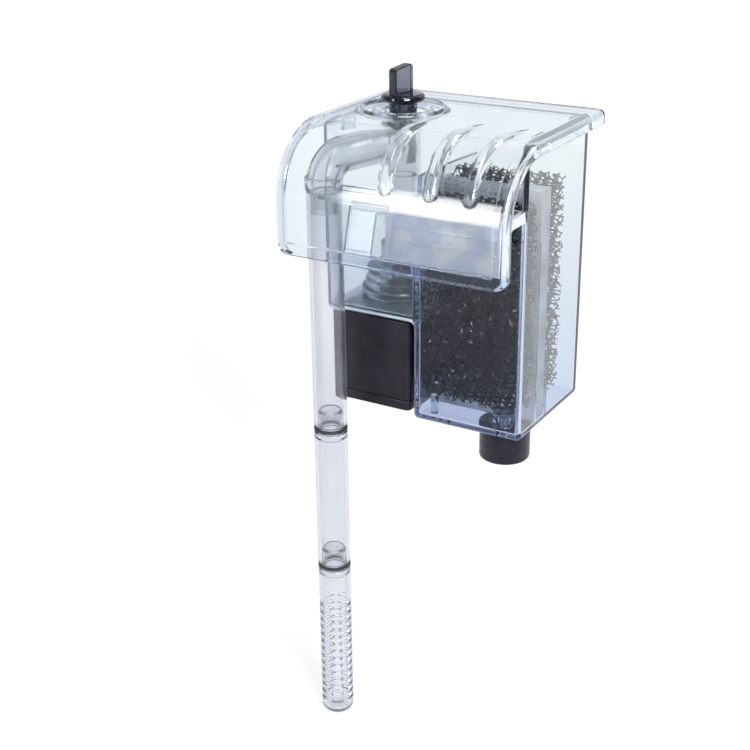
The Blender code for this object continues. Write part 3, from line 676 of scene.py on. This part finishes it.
def lid_line(s):
    """Points and inward normals, in y and z, at distances along the lid's outer line from its foot."""
    angle = np.clip((s - STRAIGHT_1) / LID_BEND, 0, math.pi / 2)
    past = np.maximum(s - STRAIGHT_1 - ARC, 0)
    rise = np.minimum(s, STRAIGHT_1)
    y = LID_FRONT_Y + LID_BEND * (1 - np.cos(angle)) + past
    z = LID_FOOT_Z + rise + LID_BEND * np.sin(angle)
    return y, z, np.cos(angle), -np.sin(angle)


def smoothstep(value, start, end):
    t = np.clip((value - start) / (end - start), 0, 1)
    return t * t * (3 - 2 * t)


RIBS = ((-7.3, -1.0), (15.7, 20.0), (37.2, 38.0))
RIB_START, RIB_END = 33.0, 99.0


def rib_relief(x, s):
    """Height of the three flowing ridges on the lid's bend."""
    height = np.zeros_like(x)
    t = (s - RIB_START) / (RIB_END - RIB_START)
    for x_top, x_foot in RIBS:
        line = x_foot + (x_top - x_foot) * t + 3.0 * np.clip((t - 0.72) / 0.28, 0, 1) ** 2
        width = 3.0 * np.sqrt(np.clip(t / 0.05, 0, 1)) * (1 - 0.75 * smoothstep(t, 0.62, 1.0)) + 0.05
        rise = 2.1 * smoothstep(t, -0.01, 0.07) * (1 - smoothstep(t, 0.55, 0.99))
        across = np.clip(np.abs(x - line) / width, 0, 1)
        inside = (t > 0) & (t < 1)
        height = np.maximum(height, np.where(inside, rise * (1 - across ** 3.2), 0))
    return height


def lid_relief(x, s):
    """Height of the lid's outer face over its plain line: border, ribs and the dish round the knob."""
    near, far = LID_BORDER - 0.3, LID_BORDER + 0.3
    inset = smoothstep(LID_HALF - np.abs(x), near, far)
    inset *= smoothstep(s, near, far) * (1 - smoothstep(s, LID_LENGTH - far, LID_LENGTH - near))
    y = lid_line(s)[0]
    flat = s > STRAIGHT_1 + ARC - 4
    radius = np.hypot(x - PUMP_X, y - PUMP_Y)
    dish = 1.7 * np.exp(-((radius - 19.0) / 1.25) ** 2) + 0.9 * np.exp(-((radius - 12.2) / 0.9) ** 2)
    dish -= 0.25 * (1 - smoothstep(radius, 16.5, 18.0))
    return -0.85 * inset + np.where(flat, dish, 0.0) + rib_relief(x, s)


def corner_pull(s):
    """How far the lid's sides draw in at its rounded corners."""
    radius = 4.2
    near = np.clip(radius - s, 0, radius)
    far = np.clip(radius - (LID_LENGTH - s), 0, radius)
    return 2 * radius - np.sqrt(radius ** 2 - near ** 2) - np.sqrt(radius ** 2 - far ** 2)


def side_line(half, depth, sheet, rim, radius):
    """Left side of a cross-section: up from the rim and round the corner on to the sheet."""
    points = [(-half + rim * 0.4, depth), (-half + rim * 0.12, depth - abs(rim) * 0.12),
              (-half, depth - abs(rim) * 0.4)]
    points += [(-half, depth - (depth - sheet - radius) * t) for t in (0.35, 0.7)]
    for k in range(8):
        a = math.pi / 2 * k / 7
        points.append((-half + radius * (1 - math.cos(a)), sheet + radius * (1 - math.sin(a))))
    return points


def mirrored(line):
    return [(-x, depth) for x, depth in reversed(line)]


def round_end(s, radius):
    """How deep a rounded end lies at a distance from it."""
    return radius - np.sqrt(np.maximum(radius ** 2 - np.clip(radius - s, 0, radius) ** 2, 0))


def lid_sections():
    """Cross-sections of the lid's outer and inner face, each a line of (x, depth) points of equal count."""
    reach_out = LID_HALF - 2.4
    reach_in = LID_HALF - LID_SHEET - 0.9
    step_lines = (LID_HALF - BORDER_LINES) / reach_out
    columns = np.linspace(-1, 1, int(2 * reach_out / LID_STEP) + 1)[1:-1]
    columns = np.sort(np.concatenate([columns, step_lines, -step_lines]))
    left_out = side_line(LID_HALF, LID_SKIRT, 0.0, 1.0, 2.4)
    left_in = side_line(LID_HALF - LID_SHEET, LID_SKIRT, LID_SHEET, -1.0, 0.9)
    outer = left_out + [(c * reach_out, 0.0) for c in columns] + mirrored(left_out)
    inner = left_in + [(c * reach_in, LID_SHEET) for c in columns] + mirrored(left_in)
    return np.array(outer), np.array(inner)


def lid_distances():
    """Distances along the lid of the outer and the inner face's rows, closer together at the ends."""
    middle_rows = np.linspace(0.8, LID_LENGTH - 3.2, int(LID_LENGTH / LID_STEP))
    start = [0.0, 0.1, 0.25, 0.45, *sorted([*middle_rows, *BORDER_LINES, *(LID_LENGTH - BORDER_LINES)])]
    outer = start + [LID_LENGTH - v for v in (2.6, 2.0, 1.5, 1.1, 0.7, 0.4, 0.2, 0.06, 0.0)]
    inner = start + [LID_LENGTH - v for v in (3.1, 3.0, 2.9, 2.8, 2.7, 2.6, 2.45, 2.35, 0.0)]
    return np.array(outer), np.array(inner)


def lid_sheet(line, distance, is_inner):
    """A grid of points over one of the lid's faces."""
    x, s = np.meshgrid(line[:, 0], distance)
    depth = np.repeat(line[:, 1][None, :], len(distance), 0)
    if is_inner:
        on_top = depth < LID_SHEET + 0.01
        depth = depth - np.where(on_top, 0.55 * rib_relief(x, s) + round_end(s, 0.45), 0.0)
        depth[-2:] = LID_SKIRT
    else:
        depth = depth - np.where(depth < 0.01, lid_relief(x, s), 0.0)
        depth += (round_end(s, 0.45) + round_end(LID_LENGTH - s, 1.5)) * (1 - depth / LID_SKIRT)
    y, z, ny, nz = lid_line(s)
    return np.stack([x * (1 - corner_pull(s) / LID_HALF), y + ny * depth, z + nz * depth], -1)


def shell_faces(rows, count):
    """Faces of a closed shell between two grids of points, with the outer grid's points first."""
    size = rows * count
    faces = []
    for j in range(rows - 1):
        for i in range(count - 1):
            a = j * count + i
            faces += [(a, a + 1, a + count + 1, a + count),
                      (size + a, size + a + count, size + a + count + 1, size + a + 1)]
    sides = [(j * count + i, (j + 1) * count + i, i > 0) for j in range(rows - 1) for i in (0, count - 1)]
    ends = [(j * count + i, j * count + i + 1, j == 0) for i in range(count - 1) for j in (0, rows - 1)]
    for a, b, flip in sides + ends:
        face = (a, b, size + b, size + a)
        faces.append(face[::-1] if flip else face)
    return faces


def make_lid():
    lines, distances = lid_sections(), lid_distances()
    sheets = [lid_sheet(lines[k], distances[k], k == 1) for k in (0, 1)]
    points = np.concatenate([sheet.reshape(-1, 3) for sheet in sheets])
    lid = outward(from_arrays("lid_shell", points, shell_faces(*sheets[0].shape[:2])))
    cut(lid, cylinder("knob_hole", *PUMP, LID_TOP - 8, LID_TOP + 8, KNOB_HOLE, 96))
    top = LID_TOP - LID_SHEET + 0.6
    join(lid, *(box("tab", (x, y, 26.5), (x + 1.6, y + 10.0, top), 0.4, "y", 3)
                for x in (LEFT + WALL + 0.5, RIGHT - WALL - 2.1) for y in (18.0, 56.0)))
    lid.data.shade_smooth()
    lid.data.set_sharp_from_angle(angle=math.radians(50))
    hand_over(lid, "lid", "clear_lid", CLEAR_LID, "lid")


# ---- water line

def intake_path():
    start, finish = Vector(TUBE), Vector(PUMP)
    span = (finish - start).length
    crown = TUBE_TOP + 1.1 + 12.0
    flat = rounded_path([(0.0, TUBE_TOP + GAP), (0.0, crown), (span, crown), (span, PUMP_INLET)], 12.0, 14)
    across = (finish - start) / span
    return [Vector((*(start + across * p.x), p.y)) for p in flat]


def make_elbow():
    path = intake_path()
    outer = [Vector((*TUBE, TUBE_TOP + 0.6))] + path[1:-1] + [Vector((*PUMP, PUMP_INLET - GAP))]
    elbow = sweep("elbow_shell", outer, 7.9, 56)
    join(elbow,
         cylinder("barrel", *PUMP, 2.0, 29.4, 8.4, 64, 0.6),
         cylinder("collar", *TUBE, TUBE_TOP + GAP, TUBE_TOP + 6.0, 8.3, 64, 0.5),
         cylinder("spigot", *TUBE, TUBE_TOP - SPIGOT, TUBE_TOP + 3.0, PLUG, 56))
    inner = [Vector((*TUBE, TUBE_TOP - SPIGOT - 4))] + path[1:-1] + [Vector((*PUMP, -45.0))]
    cut(elbow,
        sweep("bore", inner, CORE, 48),
        cylinder("valve_room", *PUMP, 4.0, 26.0, 6.6, 56),
        cylinder("stem_hole", *PUMP, 20.0, 40.0, 2.3, 32),
        cylinder("seal_seat", *PUMP, 27.4, 40.0, 4.5, 40))
    hand_over(shade(elbow), "tank", "clear_tube", CLEAR_ELBOW, "riser_elbow")


def make_valve():
    knob = [(0.0, 41.0), (8.2, 41.0, 1.0), (9.7, 40.4, 0.8), (10.0, 39.2, 0.8), (9.6, 38.0, 0.8),
            (8.2, 37.3, 0.8), (6.4, 37.1, 0.5), (6.4, 31.9, 0.5), (0.0, 31.9)]
    grip = turned("knob_grip", knob, *PUMP, 80)
    outline = fillet([(-6.9, 40.2, 0), (-6.9, 52.3), (4.5, 54.1), (4.5, 40.2, 0)], 1.6, 6, closed=True)
    blade = prism("blade", outline, "xz", -2.5, 2.5)
    bevel(blade, 0.8, 4, 50)
    join(grip, stand(blade, PUMP, KNOB_TURN))
    cut(grip, cylinder("stem_socket", *PUMP, 20.0, 37.0, 2.4, 32))
    bevel(grip, 0.25, 2, 55)
    hand_over(shade(grip), "flow_valve", "knob_smoke", SMOKE, "flow_knob")
    gate = ring("gate_shell", *PUMP, 10.4, 25.6, 5.0, 6.2, 64, 0.0)
    quadrant = box("quadrant", (0.0, 0.0, 0.0), (20.0, 20.0, 30.0))
    combine(gate, "INTERSECT", [stand(quadrant, PUMP, -45)])
    join(gate,
         cylinder("cap", *PUMP, 24.2, 25.6, 5.6, 48),
         cylinder("stem", *PUMP, 24.6, 36.6, 2.05, 32))
    bevel(gate, 0.2, 2, 50)
    hand_over(shade(gate), "flow_valve", "nylon_white", NYLON, "valve_gate")
    hand_over(shade(o_ring("stem_seal_ring", *PUMP, 28.5, 3.4, 0.75)), "tank", "rubber_black",
              RUBBER, "stem_seal")


def plug_end(joint):
    """The outside and the bore of the plug above a joint, as lines of (radius, z) points."""
    tip, foot = joint + SPIGOT, joint - 1.6
    outside = [(PLUG - 0.9, tip), (PLUG, tip - 0.9), (PLUG, foot, 0.2), (TUBE_RADIUS, foot)]
    return outside, [(TUBE_BORE, joint - 4.0), (CORE, joint - 6.0), (CORE, tip)]


def make_tubes():
    upper = ring("intake_shell", *TUBE, UPPER_JOINT + 1.6, TUBE_TOP, TUBE_BORE, TUBE_RADIUS, 96, 0.35)
    hand_over(shade(upper), "intake", "clear_tube", CLEAR_TUBE, "intake_tube")
    outside, bore = plug_end(UPPER_JOINT)
    line = [*outside, (TUBE_RADIUS, LOWER_JOINT + 1.6), (TUBE_BORE, LOWER_JOINT + 1.6), *bore]
    lower = turned("extension_shell", line, *TUBE, 96, 0.35, closed=True)
    hand_over(shade(lower), "extension", "clear_tube", CLEAR_TUBE, "extension_tube")
    for z, name, body in ((UPPER_JOINT, "upper_o_ring", "extension"),
                          (LOWER_JOINT, "lower_o_ring", "strainer")):
        seal = o_ring(name + "_seal", *TUBE, z, 7.05, 0.85, 96)
        hand_over(shade(seal), body, "rubber_black", RUBBER, name)


def make_slots():
    """The strainer's slots: one ring of round-cornered boxes under another."""
    slot = box("slot", (5.1, -3.1, -1.0), (9.5, 3.1, 1.0), 0.9, "x", 4)
    bm = bmesh.new()
    for row in range(SLOT_ROWS):
        shift = Matrix.Translation((0.0, 0.0, (LOWER_JOINT - 21.5 - row * SLOT_PITCH) * MM))
        for column in range(SLOTS_ROUND):
            mesh = slot.data.copy()
            mesh.transform(shift @ Matrix.Rotation(math.radians(360 * column / SLOTS_ROUND - 59), 4, "Z"))
            bm.from_mesh(mesh)
            bpy.data.meshes.remove(mesh)
    bpy.data.objects.remove(slot, do_unlink=True)
    return stand(from_bmesh("slots", bm), TUBE, 0.0)


def make_strainer():
    base = STRAINER_BASE
    outside, bore = plug_end(LOWER_JOINT)
    cup = [(TUBE_RADIUS, base, 4.5), (0.0, base), (0.0, base + 2.0), (TUBE_BORE, base + 2.0, 3.0)]
    body = fillet([*outside, *cup, *bore], 0.35, 6, closed=True)
    body = [point for point in body if point[0] > 1e-6 or point in ((0.0, base), (0.0, base + 2.0))]
    strainer = turned("strainer_shell", body, *TUBE, 80, 0.0, closed=True)
    cut(strainer, make_slots())
    hand_over(shade(strainer), "strainer", "clear_tube", CLEAR_TUBE, "strainer")


# ---- pump and motor

def make_pump():
    base = PUMP_FLOOR + WALL + GAP
    steps = [(16.4, CASING_TOP), (16.4, -44.8, 0.5), (17.6, -45.4, 0.5), (17.6, -48.4, 0.5),
             (19.2, -49.0, 0.5), (19.2, base), (12.0, base), (12.0, -50.4), (11.0, -50.4), (11.0, CASING_TOP)]
    casing = turned("volute_shell", steps, *PUMP, 96, 0.4, closed=True)
    cut(casing, box("slot", (PUMP_X + 4.0, PUMP_Y + 6, -49.6), (PUMP_X + 9.0, PUMP_Y + 25, -43.4), 0.8, "y"))
    hand_over(shade(casing), "tank", "clear_pump", CLEAR_PUMP, "volute_casing")
    top = CASING_TOP + GAP
    cover = [(9.9, -28.0), (9.9, -36.5, 1.5), (11.0, -39.0, 0.8), (16.4, -39.6), (16.4, top), (6.6, top),
             (6.6, -40.0), (7.2, -36.6), (8.2, -36.6), (8.2, -28.0)]
    eye = turned("cover_shell", cover, *PUMP, 96, 0.4, closed=True)
    spider = [ring("holder", *PUMP, -41.2, -38.8, 2.7, 3.8, 40, 0.0)]
    for degrees in (30, 150, 270):
        spider.append(stand(box("arm", (3.3, -0.6, -41.0), (7.3, 0.6, -39.2)), PUMP, degrees))
    join(eye, *spider)
    hand_over(shade(eye), "tank", "clear_pump", CLEAR_PUMP, "volute_cover")


def make_rotor():
    shaft = cylinder("shaft_rod", *PUMP, -90.9, -39.6, 1.15, 40, 0.2)
    hand_over(shade(shaft), "tank", "ceramic_white", CERAMIC, "impeller_shaft")
    for name, low, high, outer in (("lower_shaft_bush", -91.6, -88.6, 4.2),
                                   ("upper_shaft_bush", -41.6, -38.4, 2.4)):
        bush = ring(name + "_rubber", *PUMP, low, high, ROTOR_BORE, outer, 48, 0.3)
        hand_over(shade(bush), "tank", "rubber_black", RUBBER, name)
    magnet = ring("magnet_core", *PUMP, MAGNET_LOW.z, MAGNET_HIGH.z, ROTOR_BORE, 7.6, 72, 0.6)
    hand_over(shade(magnet), "impeller", "ferrite", FERRITE, "impeller_magnet")
    wheel = ring("impeller_wheel", *PUMP, -52.2, -50.6, ROTOR_BORE, 8.2, 72, 0.2)
    parts = [ring("hub", *PUMP, -51.4, -44.4, ROTOR_BORE, 3.0, 40, 0.0)]
    for i in range(6):
        vane = box("vane", (2.2, -0.6, -51.4), (7.9, 0.6, -45.0), 0.4, "x", 3)
        parts.append(stand(vane, PUMP, 60 * i + 12))
    join(wheel, *parts)
    hand_over(shade(wheel), "impeller", "motor_black", MOTOR_BLACK, "impeller_blades")


def make_motor():
    housing = box("motor_shell", MOTOR_LOW, (*MOTOR_HIGH.xy, MOTOR_TOP), 2.6, "z", 8)
    cut(housing,
        box("room", (MOTOR_LOW.x + 2.4, MOTOR_LOW.y + 2.4, MOTOR_LOW.z - 5),
            (MOTOR_HIGH.x - 2.4, MOTOR_HIGH.y - 2.4, -59.2), 1.5, "z"),
        sweep("gland_hole", [(PUMP_X, MOTOR_HIGH.y - 6, -90.5), (PUMP_X, MOTOR_HIGH.y + 3, -90.5)], 3.6, 32))
    join(housing,
         cylinder("well_wall", *PUMP, -94.0, MOTOR_TOP - 1, 10.2, 64),
         cylinder("spigot", *PUMP, MOTOR_TOP - 1, -51.2, 11.2, 64))
    cut(housing, cylinder("well", *PUMP, -92.0, -40.0, 8.6, 64))
    bevel(housing, 0.5, 3, 55)
    hand_over(shade(housing), "tank", "motor_black", MOTOR_BLACK, "motor_housing")
    cap = box("motor_cap_shell", CAP_LOW, CAP_HIGH, 2.6, "z", 8)
    bevel(cap, 0.7, 4, 55)
    hand_over(shade(cap), "tank", "motor_black", MOTOR_BLACK, "motor_base_cap")
    seal = ring("motor_seal", *PUMP, -56.3, -55.6, 11.6, 16.5, 72, 0.15)
    hand_over(shade(seal), "tank", "rubber_black", RUBBER, "motor_gasket")


def make_cam():
    line = [(0.0, CAM_HIGH.z), (11.7, CAM_HIGH.z, 0.4), (11.7, CAM_LOW.z, 1.4), (0.0, CAM_LOW.z)]
    cam = turned("cam_shell", line, *middle("levelling_cam"), 96, 0.4)
    cut(cam,
        cylinder("bore", *PIN, CAM_LOW.z - 2, CAM_HIGH.z + 2, PIN_BORE, 32),
        cylinder("seat", *PIN, CAM_LOW.z - 2, CAM_LOW.z + 3.0, 3.2, 40))
    bevel(cam, 0.2, 2, 60)
    hand_over(shade(cam), "cam", "motor_black", CAM_BLACK, "levelling_cam")
    pin = turned("cam_pin_steel",
                 [(0.0, PIN_TOP), (1.9, PIN_TOP, 0.5), (1.9, CAM_LOW.z + 2.6, 0.1), (2.8, CAM_LOW.z + 2.6),
                  (2.8, CAM_LOW.z + 0.6), (0.0, CAM_LOW.z + 0.6)], *PIN, 48, 0.25)
    hand_over(shade(pin), "tank", "steel_pin", STEEL, "cam_pin")


# ---- media

STRUT = 0.34


def cell_edges(low, high, cell, rng):
    """Both ends of the edges of packed fourteen-sided cells, tilted and shaken, round a block."""
    quarter = cell / 4
    tilt = Matrix.Rotation(0.61, 3, "X") @ Matrix.Rotation(0.43, 3, "Y") @ Matrix.Rotation(0.87, 3, "Z")
    reach = int(np.linalg.norm(high - low) / 2 / quarter) + 6
    axis = np.arange(-reach, reach + 1)
    grid = np.stack(np.meshgrid(axis, axis, axis, indexing="ij"), -1).reshape(-1, 3)
    odd = (grid % 2 == 1).sum(1) == 1
    pair = ((grid % 4 == 0).sum(1) == 1) & ((grid % 4 == 2).sum(1) == 1)
    grid = grid[odd & pair]
    nodes = grid * quarter @ np.array(tilt).T + (low + high) / 2
    near = ((nodes > low - cell) & (nodes < high + cell)).all(1)
    grid, nodes = grid[near], nodes[near]
    nodes = nodes + rng.normal(0, cell * 0.085, nodes.shape)
    key = {tuple(g): i for i, g in enumerate(grid)}
    links = []
    for i, g in enumerate(grid):
        for a, b in ((0, 1), (0, 2), (1, 2)):
            for towards in (1, -1):
                other = list(g)
                other[a] += 1
                other[b] += towards
                if tuple(other) in key:
                    links.append((i, key[tuple(other)]))
    links = np.array(links)
    return nodes[links[:, 0]], nodes[links[:, 1]]


def clipped(first, last, low, high):
    """The edges that start or end inside a block, each cut off where it leaves the block."""
    in_first = ((first > low) & (first < high)).all(1)
    in_last = ((last > low) & (last < high)).all(1)
    swap = in_last & ~in_first
    first[swap], last[swap] = last[swap].copy(), first[swap].copy()
    keep = in_first | in_last
    first, last = first[keep], last[keep]
    step = last - first
    with np.errstate(divide="ignore", invalid="ignore"):
        room = np.where(step > 0, (high - first) / step, (low - first) / step)
    share = np.clip(np.nanmin(np.where(np.isfinite(room), room, 9.0), axis=1), 0, 1)
    last = first + step * share[:, None]
    long = np.linalg.norm(last - first, axis=1) > STRUT * 0.8
    return first[long], last[long]


def foam_block(name, node, cell, seed):
    """Open-cell foam: three-sided struts along the cells' edges."""
    low, high = (np.array(v) for v in corners(node))
    rng = np.random.default_rng(seed)
    margin = STRUT * 1.3
    first, last = clipped(*cell_edges(low, high, cell, rng), low + margin, high - margin)
    count = len(first)
    along = last - first
    along /= np.linalg.norm(along, axis=1)[:, None]
    side = np.cross(along, np.where(np.abs(along[:, 2:3]) < 0.8, [[0, 0, 1]], [[1, 0, 0]]))
    side /= np.linalg.norm(side, axis=1)[:, None]
    up = np.cross(along, side)
    spin = rng.uniform(0, 2 * math.pi, count)
    thick = STRUT * rng.uniform(0.8, 1.25, count)[:, None]
    points = np.empty((count, 6, 3))
    for end, at in enumerate((first - along * STRUT * 0.5, last + along * STRUT * 0.3)):
        for k in range(3):
            a = (spin + 2 * math.pi * k / 3)[:, None]
            points[:, end * 3 + k] = at + (side * np.cos(a) + up * np.sin(a)) * thick
    base = (np.arange(count) * 6)[:, None]
    quads = np.concatenate([base + q for q in ((0, 1, 4, 3), (1, 2, 5, 4), (2, 0, 3, 5))])
    ends = np.concatenate([base + t for t in ((0, 2, 1), (3, 4, 5))])
    return from_arrays(name, points.reshape(-1, 3), quads.tolist() + ends.tolist())


def make_foams():
    for name, node, cell, seed in (("foam_front_sponge", "foam_front", 5.3, 3),
                                   ("foam_back_sponge", "foam_back", 5.5, 8)):
        foam = foam_block(name, node, cell, seed)
        hand_over(foam, "tank", "foam_black", FOAM, node)


def make_cartridge():
    """The open-topped frame, and the pad that crumbles a little at its faces and more at its edges."""
    low, high = corners("cartridge_frame")
    pad_low, pad_high = corners("carbon_pad")
    holder = box("cartridge_shell", low, high, 0.8, "y", 5)
    cut(holder, box("window", (pad_low.x - 0.4, low.y - 2, pad_low.z - 0.4),
                    (pad_high.x + 0.4, high.y + 2, high.z + 5), 1.0, "y"))
    bevel(holder, 0.3, 2, 55)
    hand_over(shade(holder), "tank", "clear_frame", CLEAR_FRAME, "cartridge_frame")
    bm, size, centre = block(pad_low, pad_high)
    for axis, cuts in ((0, 46), (1, 9), (2, 100)):
        edges = [e for e in bm.edges
                 if abs((e.verts[1].co - e.verts[0].co).normalized()[axis]) > 0.9]
        bmesh.ops.subdivide_edges(bm, edges=edges, cuts=cuts, use_grid_fill=True)
    for vert in bm.verts:
        away = vert.co - centre
        inward = Vector([-math.copysign(abs(abs(away[i]) - size[i] / 2) < 1e-6, away[i]) for i in range(3)])
        on_one_face = inward.length_squared < 1.5
        rough = noise.fractal(vert.co * 700, 0.8, 2.0, 4) * 0.35
        vert.co += inward * ((0.30 if on_one_face else 0.75) + rough) * MM
    pad = from_bmesh("carbon_felt_pad", bm)
    pad.data.shade_smooth()
    hand_over(pad, "tank", "carbon_felt", CARBON, "carbon_pad")


# ---- studio

AZIMUTH, ELEVATION, ROLL = math.radians(31.04), math.radians(23.083), math.radians(-0.718)
CAMERA_AT = (0.27907, -0.49791, 0.16645)
LENS = 65.92


def make_camera():
    camera = bpy.data.cameras.new("camera")
    camera.lens = LENS
    camera.sensor_width = 36.0
    camera.clip_start = 0.01
    item = place("camera", camera)
    item.matrix_world = (Matrix.Translation(CAMERA_AT) @ Matrix.Rotation(AZIMUTH, 4, "Z")
                         @ Matrix.Rotation(math.pi / 2 - ELEVATION, 4, "X") @ Matrix.Rotation(ROLL, 4, "Z"))
    bpy.context.scene.camera = item


def softbox(name, where, target, size, power, colour=(1, 1, 1)):
    """A flat lamp that faces a target."""
    lamp = bpy.data.lights.new(name, "AREA")
    lamp.shape = "RECTANGLE"
    lamp.size, lamp.size_y = size
    lamp.energy = power
    lamp.color = colour
    item = place(name, lamp)
    item.location = where
    item.rotation_euler = (Vector(target) - Vector(where)).to_track_quat("-Z", "Y").to_euler()
    return lamp


def fade(lamp):
    """Makes a lamp brightest in its middle and dark at its rims."""
    lamp.use_nodes = True
    tree = lamp.node_tree
    split = add(tree, "SeparateXYZ", {"Vector": add(tree, "NewGeometry", {})["Parametric"]})
    strength = 24.0
    for axis in "XY":
        strength = calculate(tree, "MULTIPLY", calculate(tree, "SUBTRACT", 1.0, split[axis]), strength)
        strength = calculate(tree, "MULTIPLY", split[axis], strength)
    tree.links.new(strength, tree.nodes["Emission"].inputs["Strength"])


def ramp(tree, value, low, high, stops):
    """A colour ramp over a value's range; stops are pairs of place and colour."""
    span = add(tree, "MapRange", {"From Min": low, "From Max": high, "Value": value})["Result"]
    node = tree.nodes.new("ShaderNodeValToRGB")
    tree.links.new(span, node.inputs["Fac"])
    elements = node.color_ramp.elements
    while len(elements) < len(stops):
        elements.new(0.5)
    for element, (at, colour) in zip(elements, stops):
        element.position = at
    for element, (at, colour) in zip(elements, stops):
        element.color = (*colour, 1.0)
    return node.outputs["Color"]


ONWARD = (-math.sin(AZIMUTH), math.cos(AZIMUTH), 0.0)
# Floor ramps along the onward direction: the glow and the colour both dip in a band before the object, a
# painted shade.
GLOW = [(0.0, (0.30, 0.31, 0.34)), (0.28, (0.16, 0.165, 0.20)), (0.56, (0.10, 0.105, 0.14)),
        (0.70, (0.26, 0.27, 0.30)), (0.81, (0.56, 0.56, 0.56))]
ALBEDO_AND_PAINTED_SHADE = [(0.28, (0.14, 0.142, 0.15)), (0.56, (0.11, 0.112, 0.12)), (0.81, (0.26, 0.26, 0.26))]
DOME_SIDES = [(0.0, (0.32, 0.34, 0.42)), (0.5, (0.32, 0.35, 0.45)), (0.9, (0.9, 0.93, 0.97))]
DOME_HEIGHT = [(0.0, (0, 0, 0)), (0.35, (0.1, 0.1, 0.1)), (0.9, (1, 1, 1))]
DOME_TOP = (0.55, 0.58, 0.65, 1.0)


def make_floor():
    """A pale floor that glows, more strongly further out, with painted shade: duller in a band before the
    object, where the clear walls and the motor mirror it.
    """
    bm = bmesh.new()
    bmesh.ops.create_grid(bm, x_segments=8, y_segments=8, size=6.0)
    floor = from_bmesh("floor", bm)
    floor.location.z = (STRAINER_BASE - 0.4) * MM
    look = Look("floor_look", (0.42, 0.42, 0.42), 0.9, **{"Emission Strength": 1.0})
    far = look.add("VectorMath", {0: look.where}, operation="LENGTH")["Value"]
    look.link(look.spread(far, 1.2, 1.6, 0.3, 1.6), "Emission Strength")
    along = look.add("VectorMath", {0: look.where, 1: ONWARD}, operation="DOT_PRODUCT")["Value"]
    look.link(ramp(look.tree, along, -0.6, 0.1, GLOW), "Emission Color")
    look.link(ramp(look.tree, along, -0.6, 0.1, ALBEDO_AND_PAINTED_SHADE), "Base Color")
    look.rough(look.noise(3.0, 2.0), 0.85, 0.95)
    floor.data.materials.append(look.made)


def make_dome():
    """A soft dome, bright onward and dimmer to the sides and behind, so that clear edges show."""
    world = bpy.data.worlds.new("studio")
    bpy.context.scene.world = world
    world.use_nodes = True
    tree = world.node_tree
    where = add(tree, "TexCoord", {})["Generated"]
    level = add(tree, "VectorMath", {0: where, 1: (1.0, 1.0, 0.0)}, operation="MULTIPLY")["Vector"]
    level = add(tree, "VectorMath", {0: level}, operation="NORMALIZE")["Vector"]
    towards = add(tree, "VectorMath", {0: level, 1: ONWARD}, operation="DOT_PRODUCT")["Value"]
    height = add(tree, "SeparateXYZ", {"Vector": where})["Z"]
    sides = ramp(tree, towards, -1, 1, DOME_SIDES)
    colour = blended(tree, ramp(tree, height, 0, 1, DOME_HEIGHT), sides, DOME_TOP)
    tree.links.new(colour, tree.nodes["Background"].inputs["Color"])


def make_studio():
    make_floor()
    make_dome()
    fade(softbox("front", (-0.38, -0.80, 0.165), (0.01, -0.02, 0.0), (0.23, 0.56), 5.5))
    softbox("fill", (0.8, -0.62, 0.42), (0, 0, -0.03), (0.4, 0.4), 17.0, (0.97, 0.98, 1.0))
    softbox("rear", (0.6, 0.9, 0.7), (0, 0.03, -0.03), (0.4, 0.4), 5.0)
    softbox("top", (0.15, -0.1, 1.0), (0, 0.02, -0.05), (0.4, 0.4), 5.0)
    bpy.context.scene.view_settings.view_transform = "Standard"
    cycles = bpy.context.scene.cycles
    cycles.max_bounces = 28
    cycles.transmission_bounces = 26
    cycles.transparent_max_bounces = 16
    cycles.glossy_bounces = 10
    cycles.diffuse_bounces = 3
    cycles.sample_clamp_indirect = 5.0
    cycles.use_denoising = True


make_camera()
make_studio()
make_tank()
make_lid()
make_elbow()
make_valve()
make_tubes()
make_strainer()
make_pump()
make_rotor()
make_motor()
make_cam()
make_foams()
make_cartridge()
for node, look in (("coil_winding", COPPER), ("stator_core", LAMINATED), ("coil_bobbin", NYLON),
                   ("cord_gland", RUBBER)):
    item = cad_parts[node]
    item.data.materials.clear()
    item.data.materials.append(look)
